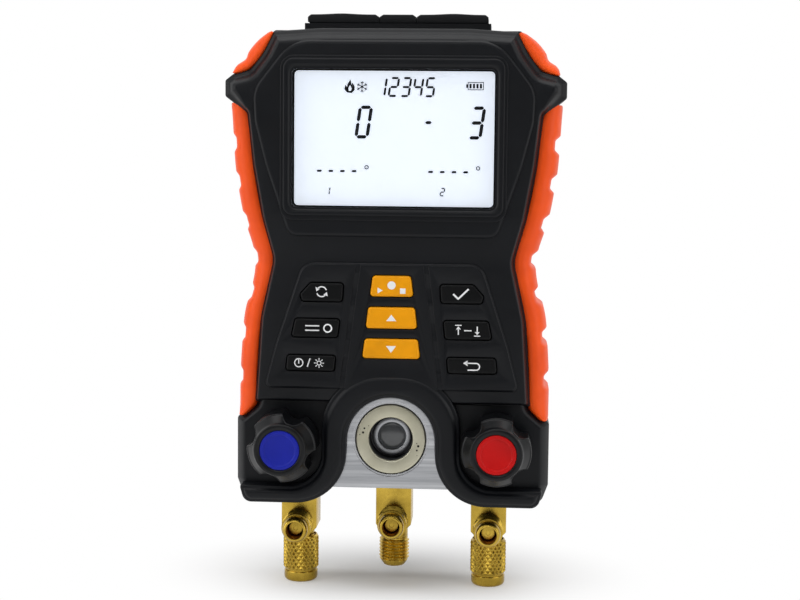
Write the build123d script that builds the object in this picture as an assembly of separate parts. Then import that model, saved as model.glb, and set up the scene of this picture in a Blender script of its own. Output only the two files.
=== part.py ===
from build123d import *
import math
import os

# Refrigerant manifold gauge: two bolted shells around a display, a keypad, four cells and a drilled
# manifold block with two hand valves, three flare ports and a sight glass.
# Millimetres. X to the right, Y from the front to the rear, Z up. Heights are first counted from the bottom
# of the port caps and depths from the key panel's base plane; every piece is then moved so that the origin
# lies inside the hanging hook's curve.

os.makedirs("parts", exist_ok=True)

# ---- fits ----
RUNNING = 0.05            # radial clearance of a shaft that turns or slides
SEAT_GAP = 0.05           # radial clearance of fixed round pieces in their seats
KEY_GAP = 0.25            # gap around a key in its window
SHELL_GAP = 0.15          # gap between the block and the shell's arch
HOLE_GAP = 0.3            # radial clearance of a hole that a piece only passes through
SCREW_GAP = 0.2           # radial clearance around a screw's head and shank
TOUCH = 0.02              # gap between faces that press together
OVERLAP = 0.1             # how far joined shapes run into each other
ROOT = 0.5                # how far a raised face or boss is rooted in the wall behind it
OVERCUT = 1.0             # how far a cutter runs past the face that it opens

# ---- housing depths ----
WALL = 2.4
FRONT_Y = 0.0             # base plane of the front
PANEL_Y = -1.0            # raised display and key panels
RIM_Y = -2.0              # display rim and arch band
EDGE_Y = 5.0              # where the front bevel reaches the full outline
PARTING_Y = 16.0
REAR_EDGE_Y = 37.0
REAR_Y = 42.0
FRONT_INSET = 3.0
REAR_INSET = 4.0
INNER_R = 0.4             # smallest corner radius of a drawn-in outline
SKIN_REAR_Y = 1.2         # rear side of the front wall

# ---- housing outline, right half, from the top down: x, z, corner radius ----
TOP_Z = 202.8
TOP_HALF = 44.2
NECK_X = 52.8             # foot of the top corner's slope
NECK_Z = TOP_Z - 14.4
SHOULDER_X = 57.4
SHOULDER_Z = TOP_Z - 15.8
COLLAR_X = 60.2
COLLAR_TOP_Z = TOP_Z - 18.4
COLLAR_LOW_Z = TOP_Z - 24.0
ARMPIT_X = 52.4
ARMPIT_Z = TOP_Z - 29.8
WAIST_X = 42.9
WAIST_Z = 121.5
CHEST_X = 50.4
CHEST_Z = 155.0
HIP_X = 49.4
HIP_Z = 69.5
FOOT_X = 56.2
FOOT_TOP_Z = 63.8
FOOT_LOW_Z = 43.0
FOOT_CORNER_X = 51.0

# ---- valves, arch and lobes ----
KNOB_X = 37.6
KNOB_Z = 56.15
LOBE_R = 21.8
BAND_W = 8.8              # width of the raised band along the arch and the lobes
ARCH_R = KNOB_X - LOBE_R
ARCH_Z = 57.3
WELL_R = LOBE_R - BAND_W
WELL_TOP_Z = 70.0
WELL_FLOOR_Y = 4.5
BOTTOM_Z = KNOB_Z - LOBE_R

# ---- display ----
WINDOW_HALF = 35.6
WINDOW_LOW_Z = 140.2
WINDOW_HIGH_Z = 188.4
WINDOW_R = 2.0
RIM_W = 3.0
RIM_TOP_W = 3.7
RIM_R = 3.6
LENS_LAP = 1.8
LENS_T = 1.5
LCD_T = 2.4
LIGHT_T = 3.0
LCD_LAP = 1.2             # the panel and the light reach past the window by this much
LCD_LOW_LAP = 1.6
LCD_Y = SKIN_REAR_Y + LENS_T
LIGHT_Y = LCD_Y + LCD_T

# ---- keys ----
KEY_FRONT_Y = -2.0
KEY_R = 1.1
KEY_FLANGE = 0.8
KEY_FLANGE_T = 0.7
KEY_TRAVEL = 0.7
MAT_T = 1.2
MAT_HALF = 38.5
MAT_LOW_Z = 80.6
MAT_HIGH_Z = 116.0
DOME_H = 0.55
DOME_R = 2.2
KEY_FLANGE_Y = SKIN_REAR_Y + 0.1
MAT_Y = SKIN_REAR_Y + KEY_FLANGE_T + KEY_TRAVEL + 0.15
MAT_BOSS_GAP = 0.4
SWITCH_SIDE = 6.0
SWITCH_CORNER_R = 0.6
SWITCH_STEM_R = 1.7
SWITCH_STEM_H = 0.6
SWITCH_Y = MAT_Y + MAT_T + DOME_H

# ---- board ----
BOARD_T = 1.6
BOARD_HALF = 39.3
BOARD_LOW_Z = 80.6
BOARD_HIGH_Z = TOP_Z - 9.8
BOARD_Y = LIGHT_Y + LIGHT_T
# x, z, width, height and thickness of each chip, then x and z of each round can
CHIPS = [
    (0, 132, 14, 14, 1.6), (-22, 130, 10, 6, 1.5), (22, 134, 8, 8, 1.2), (20, 112, 6, 9, 1.4),
    (-20, 108, 12, 7, 1.8), (0, 170, 24, 6, 3.0), (-26, 176, 9, 9, 4.0), (27, 170, 7, 7, 3.2),
]
CANS = [(32, 150), (32, 158), (-32, 150)]
CAN_R = 2.5
CAN_H = 5.0

# ---- cells and door ----
CELL_R = 7.1
CELL_L = 49.3
CELL_NUB_R = 2.7
CELL_NUB_H = 1.2
CELL_EDGE = 0.6
CELL_PITCH = 14.6
CELL_COUNT = 4
CELL_GAP = 0.4            # between a cell and the door, and the bay's sides
CELL_FLOOR_GAP = 0.2
BAY_WALL = 1.6
BAY_LOW_Z = 94.0
SPRING_H = 2.6
SPRING_FOOT_R = 4.6
SPRING_TIP_R = 2.6
CONTACT_T = 0.5
CONTACT_W = 11.0
CONTACT_H = 10.0
DOOR_T = 2.0
DOOR_LAP = 3.4
DOOR_GAP = 0.2
DOOR_R = 2.5
DOOR_LATCH_W = 16.0
DOOR_LATCH_H = 4.0
DOOR_LATCH_DEEP = 1.0
DOOR_LATCH_FROM = 2.0     # below the door's upper edge
DOOR_RIBS = 4
DOOR_RIB_PITCH = 3.0
DOOR_RIB_W = 1.2
DOOR_RIB_HALF = 12.0
DOOR_RIB_DEEP = 0.5
DOOR_RIB_FROM = 4.0       # above the bay's lower end

# ---- manifold block ----
BLOCK_HALF = 46.4
BLOCK_LOW_Z = 40.4
BLOCK_HIGH_Z = 72.0
FLOOR_T = 2.2             # the rear shell's floor under the block
BLOCK_FACE_Y = 1.0
BLOCK_BODY_Y = 8.0
BLOCK_REAR_Y = 36.0
CAVITY_R = 6.4
SEAT_Y = 28.0
PASSAGE_R = 2.2
GALLERY_Y = 32.0
GALLERY_R = 2.0
PLUG_R = 3.5
PLUG_L = 5.0
PLUG_KEY_R = 1.3
PLUG_KEY_L = 2.5

# ---- sight glass ----
GLASS_Z = 58.1
RING_SEAT_R = 12.9
RING_R = 12.4
RING_SHANK_R = 9.4
RING_BORE_R = 7.75
GLASS_VIEW_R = 5.3
GLASS_R = 7.0
GLASS_T = 3.0
GLASS_SEAL_T = 1.0
RING_FACE_Y = 0.6
RING_FLANGE_Y = 3.6
RING_STEP_Y = 4.4
RING_END_Y = 10.0
RING_EDGE = 0.4
SPANNER_R = 0.7
SPANNER_DEEP = 1.6
SPANNER_ANGLES = (160, 340)

# ---- valves ----
KNOB_FRONT_Y = -15.0
KNOB_TIP_Y = -9.5
KNOB_REAR_Y = 3.0
KNOB_DISC_R = 9.2
KNOB_R = 12.25
KNOB_NOTCH_R = 4.2
KNOB_NOTCH_AT = 13.7
KNOB_LOBES = 4
KNOB_SKIRT_R = 8.7
KNOB_REAR_EDGE = 2.0
KNOB_WEB_FRONT_Y = -10.0
KNOB_WEB_REAR_Y = -4.0
INLAY_R = 7.0
INLAY_T = 1.6
INLAY_DISH_R = 5.4
INLAY_DISH_T = 0.4
INLAY_DROP = 0.1          # how far the inlay stands behind the knob's face
SCREW_POCKET_GAP = 0.4
STEM_R = 3.0
STEM_COLLAR_R = 4.5
STEM_COLLAR_T = 2.0
BONNET_NOSE_R = 6.0
BONNET_NOSE_Y = 1.5
BONNET_FLANGE_R = 8.2
BONNET_FLANGE_Y = 5.0
BONNET_END_Y = 14.2
RING_SEAL_T = 1.8
VALVE_PITCH = 1.0         # travel per turn
VALVE_TURNS = 3
PISTON_FREE = 0.5         # room left in front of the piston when the valve is fully open
PISTON_HEAD_Y = BONNET_END_Y + RING_SEAL_T + VALVE_PITCH * VALVE_TURNS + PISTON_FREE
PISTON_HEAD_T = 3.0
PISTON_TIP_R = 4.0
PISTON_FACE_R = 2.8
PISTON_CONE_L = 1.4
LOW_KNOB_TURN = 25.0      # degrees that the low side's lobes stand turned
KNOB_SCREW_R = 1.5
KNOB_SCREW_HEAD_R = 3.4
KNOB_SCREW_HEAD_T = 1.8
KNOB_SCREW_L = 8.0

# ---- sensors ----
SENSOR_Y = 23.0
SENSOR_THREAD_R = 4.5
SENSOR_THREAD_L = 7.0
SENSOR_HEX_AF = 14.0
SENSOR_HEX_T = 4.0
SENSOR_CAN_R = 6.4
SENSOR_CAN_H = 11.0
SENSOR_INLET_R = 1.0
SENSOR_INLET_TOP = 2.0

# ---- flare ports: 7/16-20 thread ----
PORT_X = 35.0
PORT_Y = 25.2
THREAD_R = 5.556
THREAD_PITCH = 1.27
THREAD_DEPTH = 0.72
PORT_NOSE_Z = 6.7
PORT_NOSE_R = 3.8
PORT_THREAD_LOW_Z = 8.5
PORT_THREAD_TOP_Z = 17.2
PORT_NECK_R = 5.0
PORT_BORE_R = 2.4
PORT_BODY = 13.0
PORT_BODY_DEPTH = 13.4
SIDE_BODY_LOW_Z = 19.0
CENTRE_BODY_LOW_Z = 21.0
PORT_CHAMFER = 2.0
PORT_SHOULDER = 0.3       # height of the cone under the first thread
SIDE_BODY_GAP = 0.6       # between a side port's body and the shell above it
CENTRE_BODY_GAP = 0.4
PORT_SHANK_R = 5.8
PORT_SHANK_L = 6.6
STUB_RISE = 3.9           # stub axis above the body's lower face
STUB_L = 13.0
STUB_ROOT_R = 4.7
STUB_ROOT_L = 0.8
STUB_THREADS = 5
STUB_RING_R = 5.3
STUB_RING_L = 1.0
STUB_GROOVE_R = 4.1
STUB_GROOVE_L = 0.9
STUB_EDGE = 0.2
STUB_NOSE_L = 1.6         # length of the tapered end
STUB_END_R = 3.7
STUB_DRILL_L = 1.2        # depth of the drill's cone
STUB_NOSE_R = 4.6
STUB_HOLE_R = 3.1
STUB_HOLE_L = 9.0
CAP_R = 6.6
CAP_H = 17.3
CAP_FLOOR_Z = 4.7
CAP_EDGE = 1.2
CAP_WAIST_Z = 4.0
CAP_GROOVE = 0.3
CAP_END_R = 6.0
CAP_GROOVE_R = 5.7
CAP_SHOULDER = 0.4
CAP_RIM = 0.8
GASKET_LESS = 0.3         # how much smaller than the thread the gasket's radius is

# ---- top covers and sockets ----
COVER_HALF = 32.3
COVER_HINGE_X = 6.65
COVER_GAP = 0.2
COVER_LOW_Z = TOP_Z + 2.6
COVER_HIGH_Z = TOP_Z + 6.1
COVER_FRONT_Y = 16.6
COVER_REAR_Y = 31.4
COVER_EDGE = 1.4
COVER_LIFT = 0.05         # between a cover and the platform below it
NOTCH_W = 1.0             # half width of the V notch that the covers bend along
NOTCH_T = 0.9
PLATFORM_PAST = 1.0       # the platform reaches past the covers by this much
PLATFORM_SHORT = 0.4
SOCKET_X = 20.0
SOCKET_R = 4.0
SOCKET_L = 14.0
SOCKET_BORE_R = 1.8
SOCKET_FLANGE_R = 5.6
SOCKET_FLANGE_T = 1.5
SOCKET_DROP = 0.4         # below the covers' underside
SOCKET_END_T = 2.0

# ---- hook ----
HOOK_PIVOT_Z = TOP_Z - 8.8
HOOK_T = 4.0
HOOK_CENTRE_Z = 174.5
HOOK_IN_R = 10.0
HOOK_OUT_R = 14.5
HOOK_GAP_FROM = 12.0      # degrees
HOOK_GAP_TO = 58.0
HOOK_BARREL_R = 2.1
HOOK_BARREL_HALF = 14.0
HOOK_PIN_R = 1.2
HOOK_STEM_HALF = 5.0
HOOK_REAR_GAP = 0.1
HOOK_FLOOR_GAP = 0.3
RECESS_HALF = 16.2
RECESS_LOW_Z = 157.6
PIN_BITE = 2.0            # how far the pin goes into each wall of the recess
HOOK_REAR_Y = REAR_Y - HOOK_REAR_GAP
HOOK_MID_Y = HOOK_REAR_Y - HOOK_T / 2
RECESS_FLOOR_Y = HOOK_REAR_Y - HOOK_T - HOOK_FLOOR_GAP

# ---- screws ----
SHELL_SCREWS = [(41.0, TOP_Z - 12.8), (37.6, 108.0)]
BLOCK_SCREWS = [(20.5, 66.0), (20.3, 46.0)]
BOSS_R = 3.2
BOSS_FRONT_Y = 0.8
REAR_BOSS_R = 4.8
BOSS_GAP = 0.3
SCREW_R = 1.2
SCREW_HEAD_R = 2.7
SCREW_HEAD_T = 1.8
SCREW_SLOT_R = 0.9
SCREW_SLOT_DEEP = 1.0
SCREW_TIP_GAP = 1.0       # between a screw's tip and the end of its hole
BLOCK_SCREW_END = 1.5     # end of a block screw's hole, behind the arch band's face
SCREW_BITE = 8.0          # thread length in a front boss
SCREW_SEAT_Y = 34.0       # where a shell screw's head seats

# ---- grips ----
GRIP_FRONT_Y = EDGE_Y
GRIP_REAR_Y = 36.0
GRIP_TOP_Z = 174.4
GRIP_LOW_Z = 64.4
GRIP_ROOT_X = 34.0        # where the grip outlines end, inside the housing's
GRIP_ROOT_R = 0.5
CORNER_GRIP_TOP_Z = TOP_Z - 0.4
CORNER_GRIP_LOW_Z = TOP_Z - 20.8
GRIP_FRONT_EDGE = 6.0     # depth of the sloping front edge
GRIP_REAR_EDGE = 5.0
SIDE_GRIP_DRAW = 2.4      # how far the edges are drawn in
CORNER_GRIP_DRAW = 1.4
NOTCH_R = 6.0
NOTCH_DEPTH = 1.5
NOTCH_FIRST_Z = 78.8
NOTCH_PITCH = 14.0
NOTCH_COUNT = 7

# ---- seal between the shells ----
SEAL_T = 1.2
SEAL_IN = 0.8
SEAL_W = 0.8
SEAL_LOW_Z = 76.0

ORIGIN = Vector(0, HOOK_MID_Y, HOOK_CENTRE_Z - HOOK_IN_R)


# ---- helpers ----
def front_plane(y):
    """Sketch plane at depth y: its x is X, its y is Z, and it faces the front."""
    return Plane(origin=(0, y, 0), x_dir=(1, 0, 0), z_dir=(0, -1, 0))


def slab(face, front, rear):
    """A sketch in X and Z made solid between two depths."""
    return extrude(front_plane(rear) * face, amount=rear - front, dir=(0, -1, 0))


def box(x0, x1, z0, z1):
    """A rectangle sketch between two widths and two heights."""
    return Pos((x0 + x1) / 2, (z0 + z1) / 2) * Rectangle(x1 - x0, z1 - z0)


def round_box(x0, x1, z0, z1, radius):
    return Pos((x0 + x1) / 2, (z0 + z1) / 2) * RectangleRounded(x1 - x0, z1 - z0, radius)


def disc(x, z, radius):
    return Pos(x, z) * Circle(radius)


def rod_y(x, z, radius, front, rear):
    """A round bar along Y."""
    return slab(disc(x, z, radius), front, rear)


def rod_z(x, y, radius, low, high):
    """A round bar along Z."""
    return extrude(Plane(origin=(x, y, low)) * Circle(radius), amount=high - low)


def rod_x(y, z, radius, left, right):
    """A round bar along X."""
    start = Plane(origin=(left, y, z), x_dir=(0, 1, 0), z_dir=(1, 0, 0))
    return extrude(start * Circle(radius), amount=right - left)


def turned(profile):
    """A piece turned about Z from (radius, height) points."""
    return revolve(Plane.XZ * make_face(Polyline(*profile, close=True)), axis=Axis.Z)


def to_front(shape, x, y, z):
    """Lay a piece that is turned about Z along Y, its top towards the front."""
    return Pos(x, y, z) * Rot(90, 0, 0) * shape


def mirrored(shape):
    return mirror(shape, about=Plane.YZ)


def both_sides(points):
    """A right-half outline from the top down, completed with its left half."""
    right = [(x, z, r) for x, z, r in points]
    left = [(-x, z, r) for x, z, r in reversed(points)]
    return right + left


def corner_arc(before, corner, after, radius):
    """The first, middle and last point of the arc that rounds one corner."""
    back = (before - corner)
    ahead = (after - corner)
    half_angle = math.radians(back.get_angle(ahead)) / 2
    reach = min(radius / math.tan(half_angle), 0.48 * back.length, 0.48 * ahead.length)
    radius = reach * math.tan(half_angle)
    middle_way = (back.normalized() + ahead.normalized()).normalized()
    middle = corner + middle_way * (radius / math.sin(half_angle) - radius)
    return corner + back.normalized() * reach, middle, corner + ahead.normalized() * reach


def rounded(points):
    """A closed outline of straight runs and tangent arcs, with a radius at each corner."""
    corners = [Vector(x, z) for x, z, r in points]
    arcs = []
    for i, (x, z, r) in enumerate(points):
        if r:
            arcs.append(corner_arc(corners[i - 1], corners[i], corners[(i + 1) % len(points)], r))
        else:
            arcs.append((corners[i], None, corners[i]))
    edges = []
    for i, (start, middle, end) in enumerate(arcs):
        if middle is not None:
            edges.append(Edge.make_three_point_arc(start, middle, end))
        edges.append(Edge.make_line(end, arcs[(i + 1) % len(arcs)][0]))
    return Sketch() + Face(Wire(edges))


def inset(points, distance):
    """Move every side of a clockwise outline inwards by one distance."""
    moved = []
    count = len(points)
    for i, (x, z, r) in enumerate(points):
        before = Vector(x - points[i - 1][0], z - points[i - 1][1]).normalized()
        after = Vector(points[(i + 1) % count][0] - x, points[(i + 1) % count][1] - z).normalized()
        side_before = Vector(before.Y, -before.X)
        side_after = Vector(after.Y, -after.X)
        bisector = (side_before + side_after).normalized()
        reach = distance / bisector.dot(side_before)
        convex = before.X * after.Y - before.Y * after.X < 0
        radius = max(r - distance, INNER_R) if convex else r + distance
        moved.append((x + bisector.X * reach, z + bisector.Y * reach, radius))
    return moved


def save(name, shape):
    pieces = shape.solids() if hasattr(shape, "solids") else [s for p in shape for s in p.solids()]
    moved = [Pos(-ORIGIN.X, -ORIGIN.Y, -ORIGIN.Z) * s for s in pieces]
    export_step(moved[0] if len(moved) == 1 else Compound(children=moved), f"parts/{name}.step")


# ---- housing outlines ----
HOUSING = both_sides([
    (TOP_HALF, TOP_Z, 1.5),
    (NECK_X, NECK_Z, 1.0),
    (SHOULDER_X, SHOULDER_Z, 1.0),
    (COLLAR_X, COLLAR_TOP_Z, 1.2),
    (COLLAR_X, COLLAR_LOW_Z, 1.2),
    (ARMPIT_X, ARMPIT_Z, 2.0),
    (CHEST_X, CHEST_Z, 30.0),
    (47.0, 136.0, 14.0),
    (WAIST_X, WAIST_Z, 10.0),
    (47.4, 101.0, 25.0),
    (HIP_X, HIP_Z, 3.0),
    (FOOT_X, FOOT_TOP_Z, 1.5),
    (FOOT_X, FOOT_LOW_Z, 3.0),
    (FOOT_CORNER_X, BOTTOM_Z, 4.0),
])


def outline_solid(distance, front, rear):
    return slab(rounded(inset(HOUSING, distance)), front, rear)


def room_face(distance):
    """The room inside the outline, one distance in from it."""
    return offset(rounded(HOUSING), amount=-distance)


def bevelled(points, front_distance, rear_distance, front, rear):
    """An outline drawn in from one distance to another between two depths."""
    first = front_plane(front) * rounded(inset(points, front_distance))
    second = front_plane(rear) * rounded(inset(points, rear_distance))
    return loft([first.face(), second.face()], ruled=True)


def lobes():
    return disc(KNOB_X, KNOB_Z, LOBE_R) + disc(-KNOB_X, KNOB_Z, LOBE_R)


def arch_opening():
    """The opening for the block's face: an arch that flares out along both lobes."""
    low = box(-KNOB_X, KNOB_X, BOTTOM_Z - OVERCUT, KNOB_Z) - lobes()
    return low + box(-ARCH_R, ARCH_R, KNOB_Z - TOUCH, ARCH_Z) + disc(0, ARCH_Z, ARCH_R)


def arch_band():
    """The raised band along the arch and the lower edge."""
    outer = disc(0, ARCH_Z, ARCH_R + BAND_W)
    legs = box(-KNOB_X + WELL_R, KNOB_X - WELL_R, BOTTOM_Z, ARCH_Z)
    foot = box(-COLLAR_X, COLLAR_X, BOTTOM_Z, KNOB_Z - WELL_R)
    corners = box(-KNOB_X, KNOB_X, BOTTOM_Z, KNOB_Z)
    corners -= disc(KNOB_X, KNOB_Z, WELL_R) + disc(-KNOB_X, KNOB_Z, WELL_R)
    return outer + legs + foot + corners


def knob_wells():
    """The two recesses that the knobs stand in, open to the sides."""
    return box(-COLLAR_X, COLLAR_X, KNOB_Z - WELL_R, WELL_TOP_Z) - arch_band()


DISPLAY_PANEL = both_sides([
    (36.5, TOP_Z - 4.8, 4.0),
    (49.2, 179.8, 6.0),
    (49.4, 171.5, 6.0),
    (45.4, 155.0, 20.0),
    (36.6, 130.0, 4.5),
])
KEY_PANEL = both_sides([
    (31.5, 121.0, 6.0),
    (41.0, 92.0, 20.0),
    (45.2, 74.0, 4.0),
])

# ---- keys: corners of each window ----
AMBER_KEYS = {
    "record_key": (116.5, 109.2, 6.65, 7.6),
    "up_key": (105.4, 97.9, 8.15, 9.0),
    "down_key": (94.2, 87.3, 9.3, 10.2),
}
BLACK_KEYS = {
    "top": [(17.0, 113.7), (28.6, 113.7), (32.3, 109.6), (31.6, 107.1), (17.4, 107.1)],
    "middle": [(18.2, 101.0), (34.0, 101.0), (35.4, 94.4), (19.0, 94.4)],
    "bottom": [(19.6, 88.0), (36.7, 88.0), (37.3, 82.4), (20.1, 82.4)],
}


def key_outlines():
    keys = {}
    for name, (high, low, top_half, low_half) in AMBER_KEYS.items():
        keys[name] = [(-top_half, high), (top_half, high), (low_half, low), (-low_half, low)]
    for row, corners in BLACK_KEYS.items():
        keys[f"right_{row}_key"] = corners
        keys[f"left_{row}_key"] = [(-x, z) for x, z in reversed(corners)]
    return keys


def key_face(corners):
    return rounded([(x, z, KEY_R) for x, z in corners])


def key_centre(corners):
    xs = [x for x, z in corners]
    zs = [z for x, z in corners]
    return (min(xs) + max(xs)) / 2, (min(zs) + max(zs)) / 2


def key(corners):
    cap = slab(key_face(corners), KEY_FRONT_Y, KEY_FLANGE_Y)
    wide = offset(key_face(corners), amount=KEY_FLANGE)
    flange = slab(wide, KEY_FLANGE_Y, SKIN_REAR_Y + KEY_FLANGE_T)
    return cap + flange


# ---- shells ----
def screw_places(places):
    return [(side * x, z) for x, z in places for side in (1, -1)]


def front_shell():
    shell = bevelled(HOUSING, FRONT_INSET, 0, FRONT_Y, EDGE_Y) + outline_solid(0, EDGE_Y, PARTING_Y)
    shell += slab(rounded(DISPLAY_PANEL) + rounded(KEY_PANEL), PANEL_Y, FRONT_Y + ROOT)
    rim = round_box(-WINDOW_HALF - RIM_W, WINDOW_HALF + RIM_W, WINDOW_LOW_Z - RIM_W,
                    WINDOW_HIGH_Z + RIM_TOP_W, RIM_R)
    shell += slab(rim, RIM_Y, FRONT_Y)
    shell += slab(arch_band() & rounded(inset(HOUSING, FRONT_INSET)), RIM_Y, FRONT_Y + ROOT)
    upper = box(-COLLAR_X, COLLAR_X, BLOCK_HIGH_Z + WALL, TOP_Z)
    shell -= slab(room_face(FRONT_INSET + WALL) & upper, SKIN_REAR_Y, BLOCK_BODY_Y)
    shell -= slab(room_face(WALL), BLOCK_BODY_Y, PARTING_Y + OVERCUT)
    shell -= slab(arch_opening(), RIM_Y - OVERCUT, PARTING_Y + OVERCUT)
    shell -= slab(knob_wells(), RIM_Y - OVERCUT, WELL_FLOOR_Y)
    window = round_box(-WINDOW_HALF, WINDOW_HALF, WINDOW_LOW_Z, WINDOW_HIGH_Z, WINDOW_R)
    shell -= slab(window, RIM_Y - OVERCUT, SKIN_REAR_Y + OVERCUT)
    for corners in key_outlines().values():
        shell -= slab(offset(key_face(corners), amount=KEY_GAP), RIM_Y - OVERCUT, SKIN_REAR_Y + OVERCUT)
    for side in (1, -1):
        hole = rod_y(side * KNOB_X, KNOB_Z, BONNET_FLANGE_R + HOLE_GAP, WELL_FLOOR_Y - OVERCUT,
                     BLOCK_BODY_Y + OVERCUT)
        shell -= hole
    for x, z in screw_places(SHELL_SCREWS):
        shell += rod_y(x, z, BOSS_R, BOSS_FRONT_Y, PARTING_Y)
        shell -= rod_y(x, z, SCREW_R, PARTING_Y - SCREW_BITE, PARTING_Y)
    for x, z in screw_places(BLOCK_SCREWS):
        shell -= rod_y(x, z, SCREW_R, RIM_Y + BLOCK_SCREW_END, BLOCK_BODY_Y)
    return shell


def bay_half():
    return CELL_PITCH * (CELL_COUNT - 1) / 2 + CELL_R + CELL_GAP


def bay_high_z():
    return BAY_LOW_Z + CONTACT_T + SPRING_H + CELL_L + CELL_NUB_H + CONTACT_T


def cell_axis_y():
    return REAR_Y - DOOR_T - CELL_R - CELL_GAP


def bay_floor_y():
    return cell_axis_y() - CELL_R - CELL_FLOOR_GAP


def door_box(grow):
    half = bay_half() + DOOR_LAP + grow
    lap = DOOR_LAP + grow
    return round_box(-half, half, BAY_LOW_Z - lap, bay_high_z() + lap, DOOR_R)


def rear_shell():
    shell = outline_solid(0, PARTING_Y, REAR_EDGE_Y) + bevelled(HOUSING, 0, REAR_INSET, REAR_EDGE_Y, REAR_Y)
    shell -= slab(room_face(WALL), PARTING_Y - OVERCUT, REAR_EDGE_Y - 1.0)
    shell -= slab(room_face(REAR_INSET + WALL), PARTING_Y, REAR_Y - WALL)
    tray = box(-bay_half() - BAY_WALL, bay_half() + BAY_WALL, BAY_LOW_Z - BAY_WALL, bay_high_z() + BAY_WALL)
    shell += slab(tray, bay_floor_y() - BAY_WALL, REAR_Y - DOOR_T)
    shell += slab(door_box(BAY_WALL), REAR_Y - DOOR_T - WALL, REAR_Y - ROOT)
    shell -= slab(box(-bay_half(), bay_half(), BAY_LOW_Z, bay_high_z()), bay_floor_y(), REAR_Y)
    shell -= slab(door_box(DOOR_GAP), REAR_Y - DOOR_T, REAR_Y + OVERCUT)
    back = box(-RECESS_HALF - WALL, RECESS_HALF + WALL, RECESS_LOW_Z - WALL, TOP_Z - ROOT)
    shell += slab(back, RECESS_FLOOR_Y - WALL, REAR_Y - 2 * ROOT)
    recess = box(-RECESS_HALF, RECESS_HALF, RECESS_LOW_Z, COVER_HIGH_Z + OVERCUT)
    shell -= slab(recess, RECESS_FLOOR_Y, REAR_Y + OVERCUT)
    shell -= rod_x(HOOK_MID_Y, HOOK_PIVOT_Z, HOOK_PIN_R, -RECESS_HALF - PIN_BITE, RECESS_HALF + PIN_BITE)
    platform = box(-COVER_HALF - PLATFORM_PAST, COVER_HALF + PLATFORM_PAST, TOP_Z - WALL, COVER_LOW_Z)
    shell += slab(platform, PARTING_Y + PLATFORM_SHORT, COVER_REAR_Y)
    for side in (1, -1):
        shell -= rod_z(side * SOCKET_X, socket_y(), SOCKET_R + SEAT_GAP, TOP_Z - 9.0, COVER_LOW_Z + OVERCUT)
    floor_z = BLOCK_LOW_Z - FLOOR_T
    gap = box(-KNOB_X, KNOB_X, BOTTOM_Z - OVERCUT, floor_z) - lobes()
    shell -= slab(gap, PARTING_Y - OVERCUT, REAR_Y + OVERCUT)
    floor = box(-KNOB_X, KNOB_X, floor_z, BLOCK_LOW_Z)
    shell += slab(floor, PARTING_Y, REAR_Y - WALL)
    for x in (-PORT_X, 0, PORT_X):
        shell -= rod_z(x, PORT_Y, PORT_SHANK_R + HOLE_GAP, BOTTOM_Z - OVERCUT, BLOCK_LOW_Z + OVERCUT)
    for x, z in screw_places(SHELL_SCREWS):
        shell += rod_y(x, z, REAR_BOSS_R, PARTING_Y, REAR_Y - WALL + ROOT)
        shell -= rod_y(x, z, SCREW_HEAD_R + SCREW_GAP, SCREW_SEAT_Y, REAR_Y + OVERCUT)
        shell -= rod_y(x, z, SCREW_R + SCREW_GAP, PARTING_Y - OVERCUT, SCREW_SEAT_Y + OVERCUT)
    shell -= slab(seal_face(), PARTING_Y - OVERCUT, PARTING_Y + SEAL_T)
    return shell


def seal_face():
    ring = rounded(inset(HOUSING, SEAL_IN)) - rounded(inset(HOUSING, SEAL_IN + SEAL_W))
    return ring & box(-COLLAR_X, COLLAR_X, SEAL_LOW_Z, TOP_Z)


def socket_y():
    return (COVER_FRONT_Y + COVER_REAR_Y) / 2


# ---- grips ----
GRIP_SIDE = [
    (GRIP_ROOT_X, GRIP_TOP_Z, GRIP_ROOT_R), (58.9, GRIP_TOP_Z, 1.2), (57.9, 155.0, 20.0),
    (54.6, 135.0, 12.0), (49.8, 120.0, 8.0), (54.4, 102.0, 20.0), (56.0, GRIP_LOW_Z, 1.0),
    (GRIP_ROOT_X, GRIP_LOW_Z, GRIP_ROOT_R),
]
GRIP_CORNER = [
    (GRIP_ROOT_X, CORNER_GRIP_TOP_Z, GRIP_ROOT_R), (45.4, CORNER_GRIP_TOP_Z, 1.5),
    (57.8, TOP_Z - 15.2, 1.2), (55.0, CORNER_GRIP_LOW_Z, 0.8), (GRIP_ROOT_X, CORNER_GRIP_LOW_Z, GRIP_ROOT_R),
]


def grip_edge_x(z):
    """Width of the side grip's outer edge at one height."""
    edge = [(x, h) for x, h, r in GRIP_SIDE if x > GRIP_ROOT_X]
    for (x0, z0), (x1, z1) in zip(edge, edge[1:]):
        if z0 >= z >= z1:
            return x0 + (x1 - x0) * (z0 - z) / (z0 - z1)
    return edge[-1][0]


def grip_body(points, draw):
    """A rubber grip: its outer edges are drawn in at the front and at the rear."""
    front = GRIP_FRONT_Y + GRIP_FRONT_EDGE
    rear = GRIP_REAR_Y - GRIP_REAR_EDGE
    body = slab(rounded(points), front, rear)
    body += bevelled(points, draw, 0, GRIP_FRONT_Y, front)
    body += bevelled(points, 0, draw, rear, GRIP_REAR_Y)
    return body - slab(rounded(HOUSING), GRIP_FRONT_Y - OVERCUT, GRIP_REAR_Y + OVERCUT)


def side_grip():
    grip = grip_body(GRIP_SIDE, SIDE_GRIP_DRAW)
    for i in range(NOTCH_COUNT):
        z = NOTCH_FIRST_Z + i * NOTCH_PITCH
        centre_x = grip_edge_x(z) + NOTCH_R - NOTCH_DEPTH
        grip -= rod_y(centre_x, z, NOTCH_R, GRIP_FRONT_Y - OVERCUT, GRIP_REAR_Y + OVERCUT)
    return grip


def corner_grip():
    return grip_body(GRIP_CORNER, CORNER_GRIP_DRAW)


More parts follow.
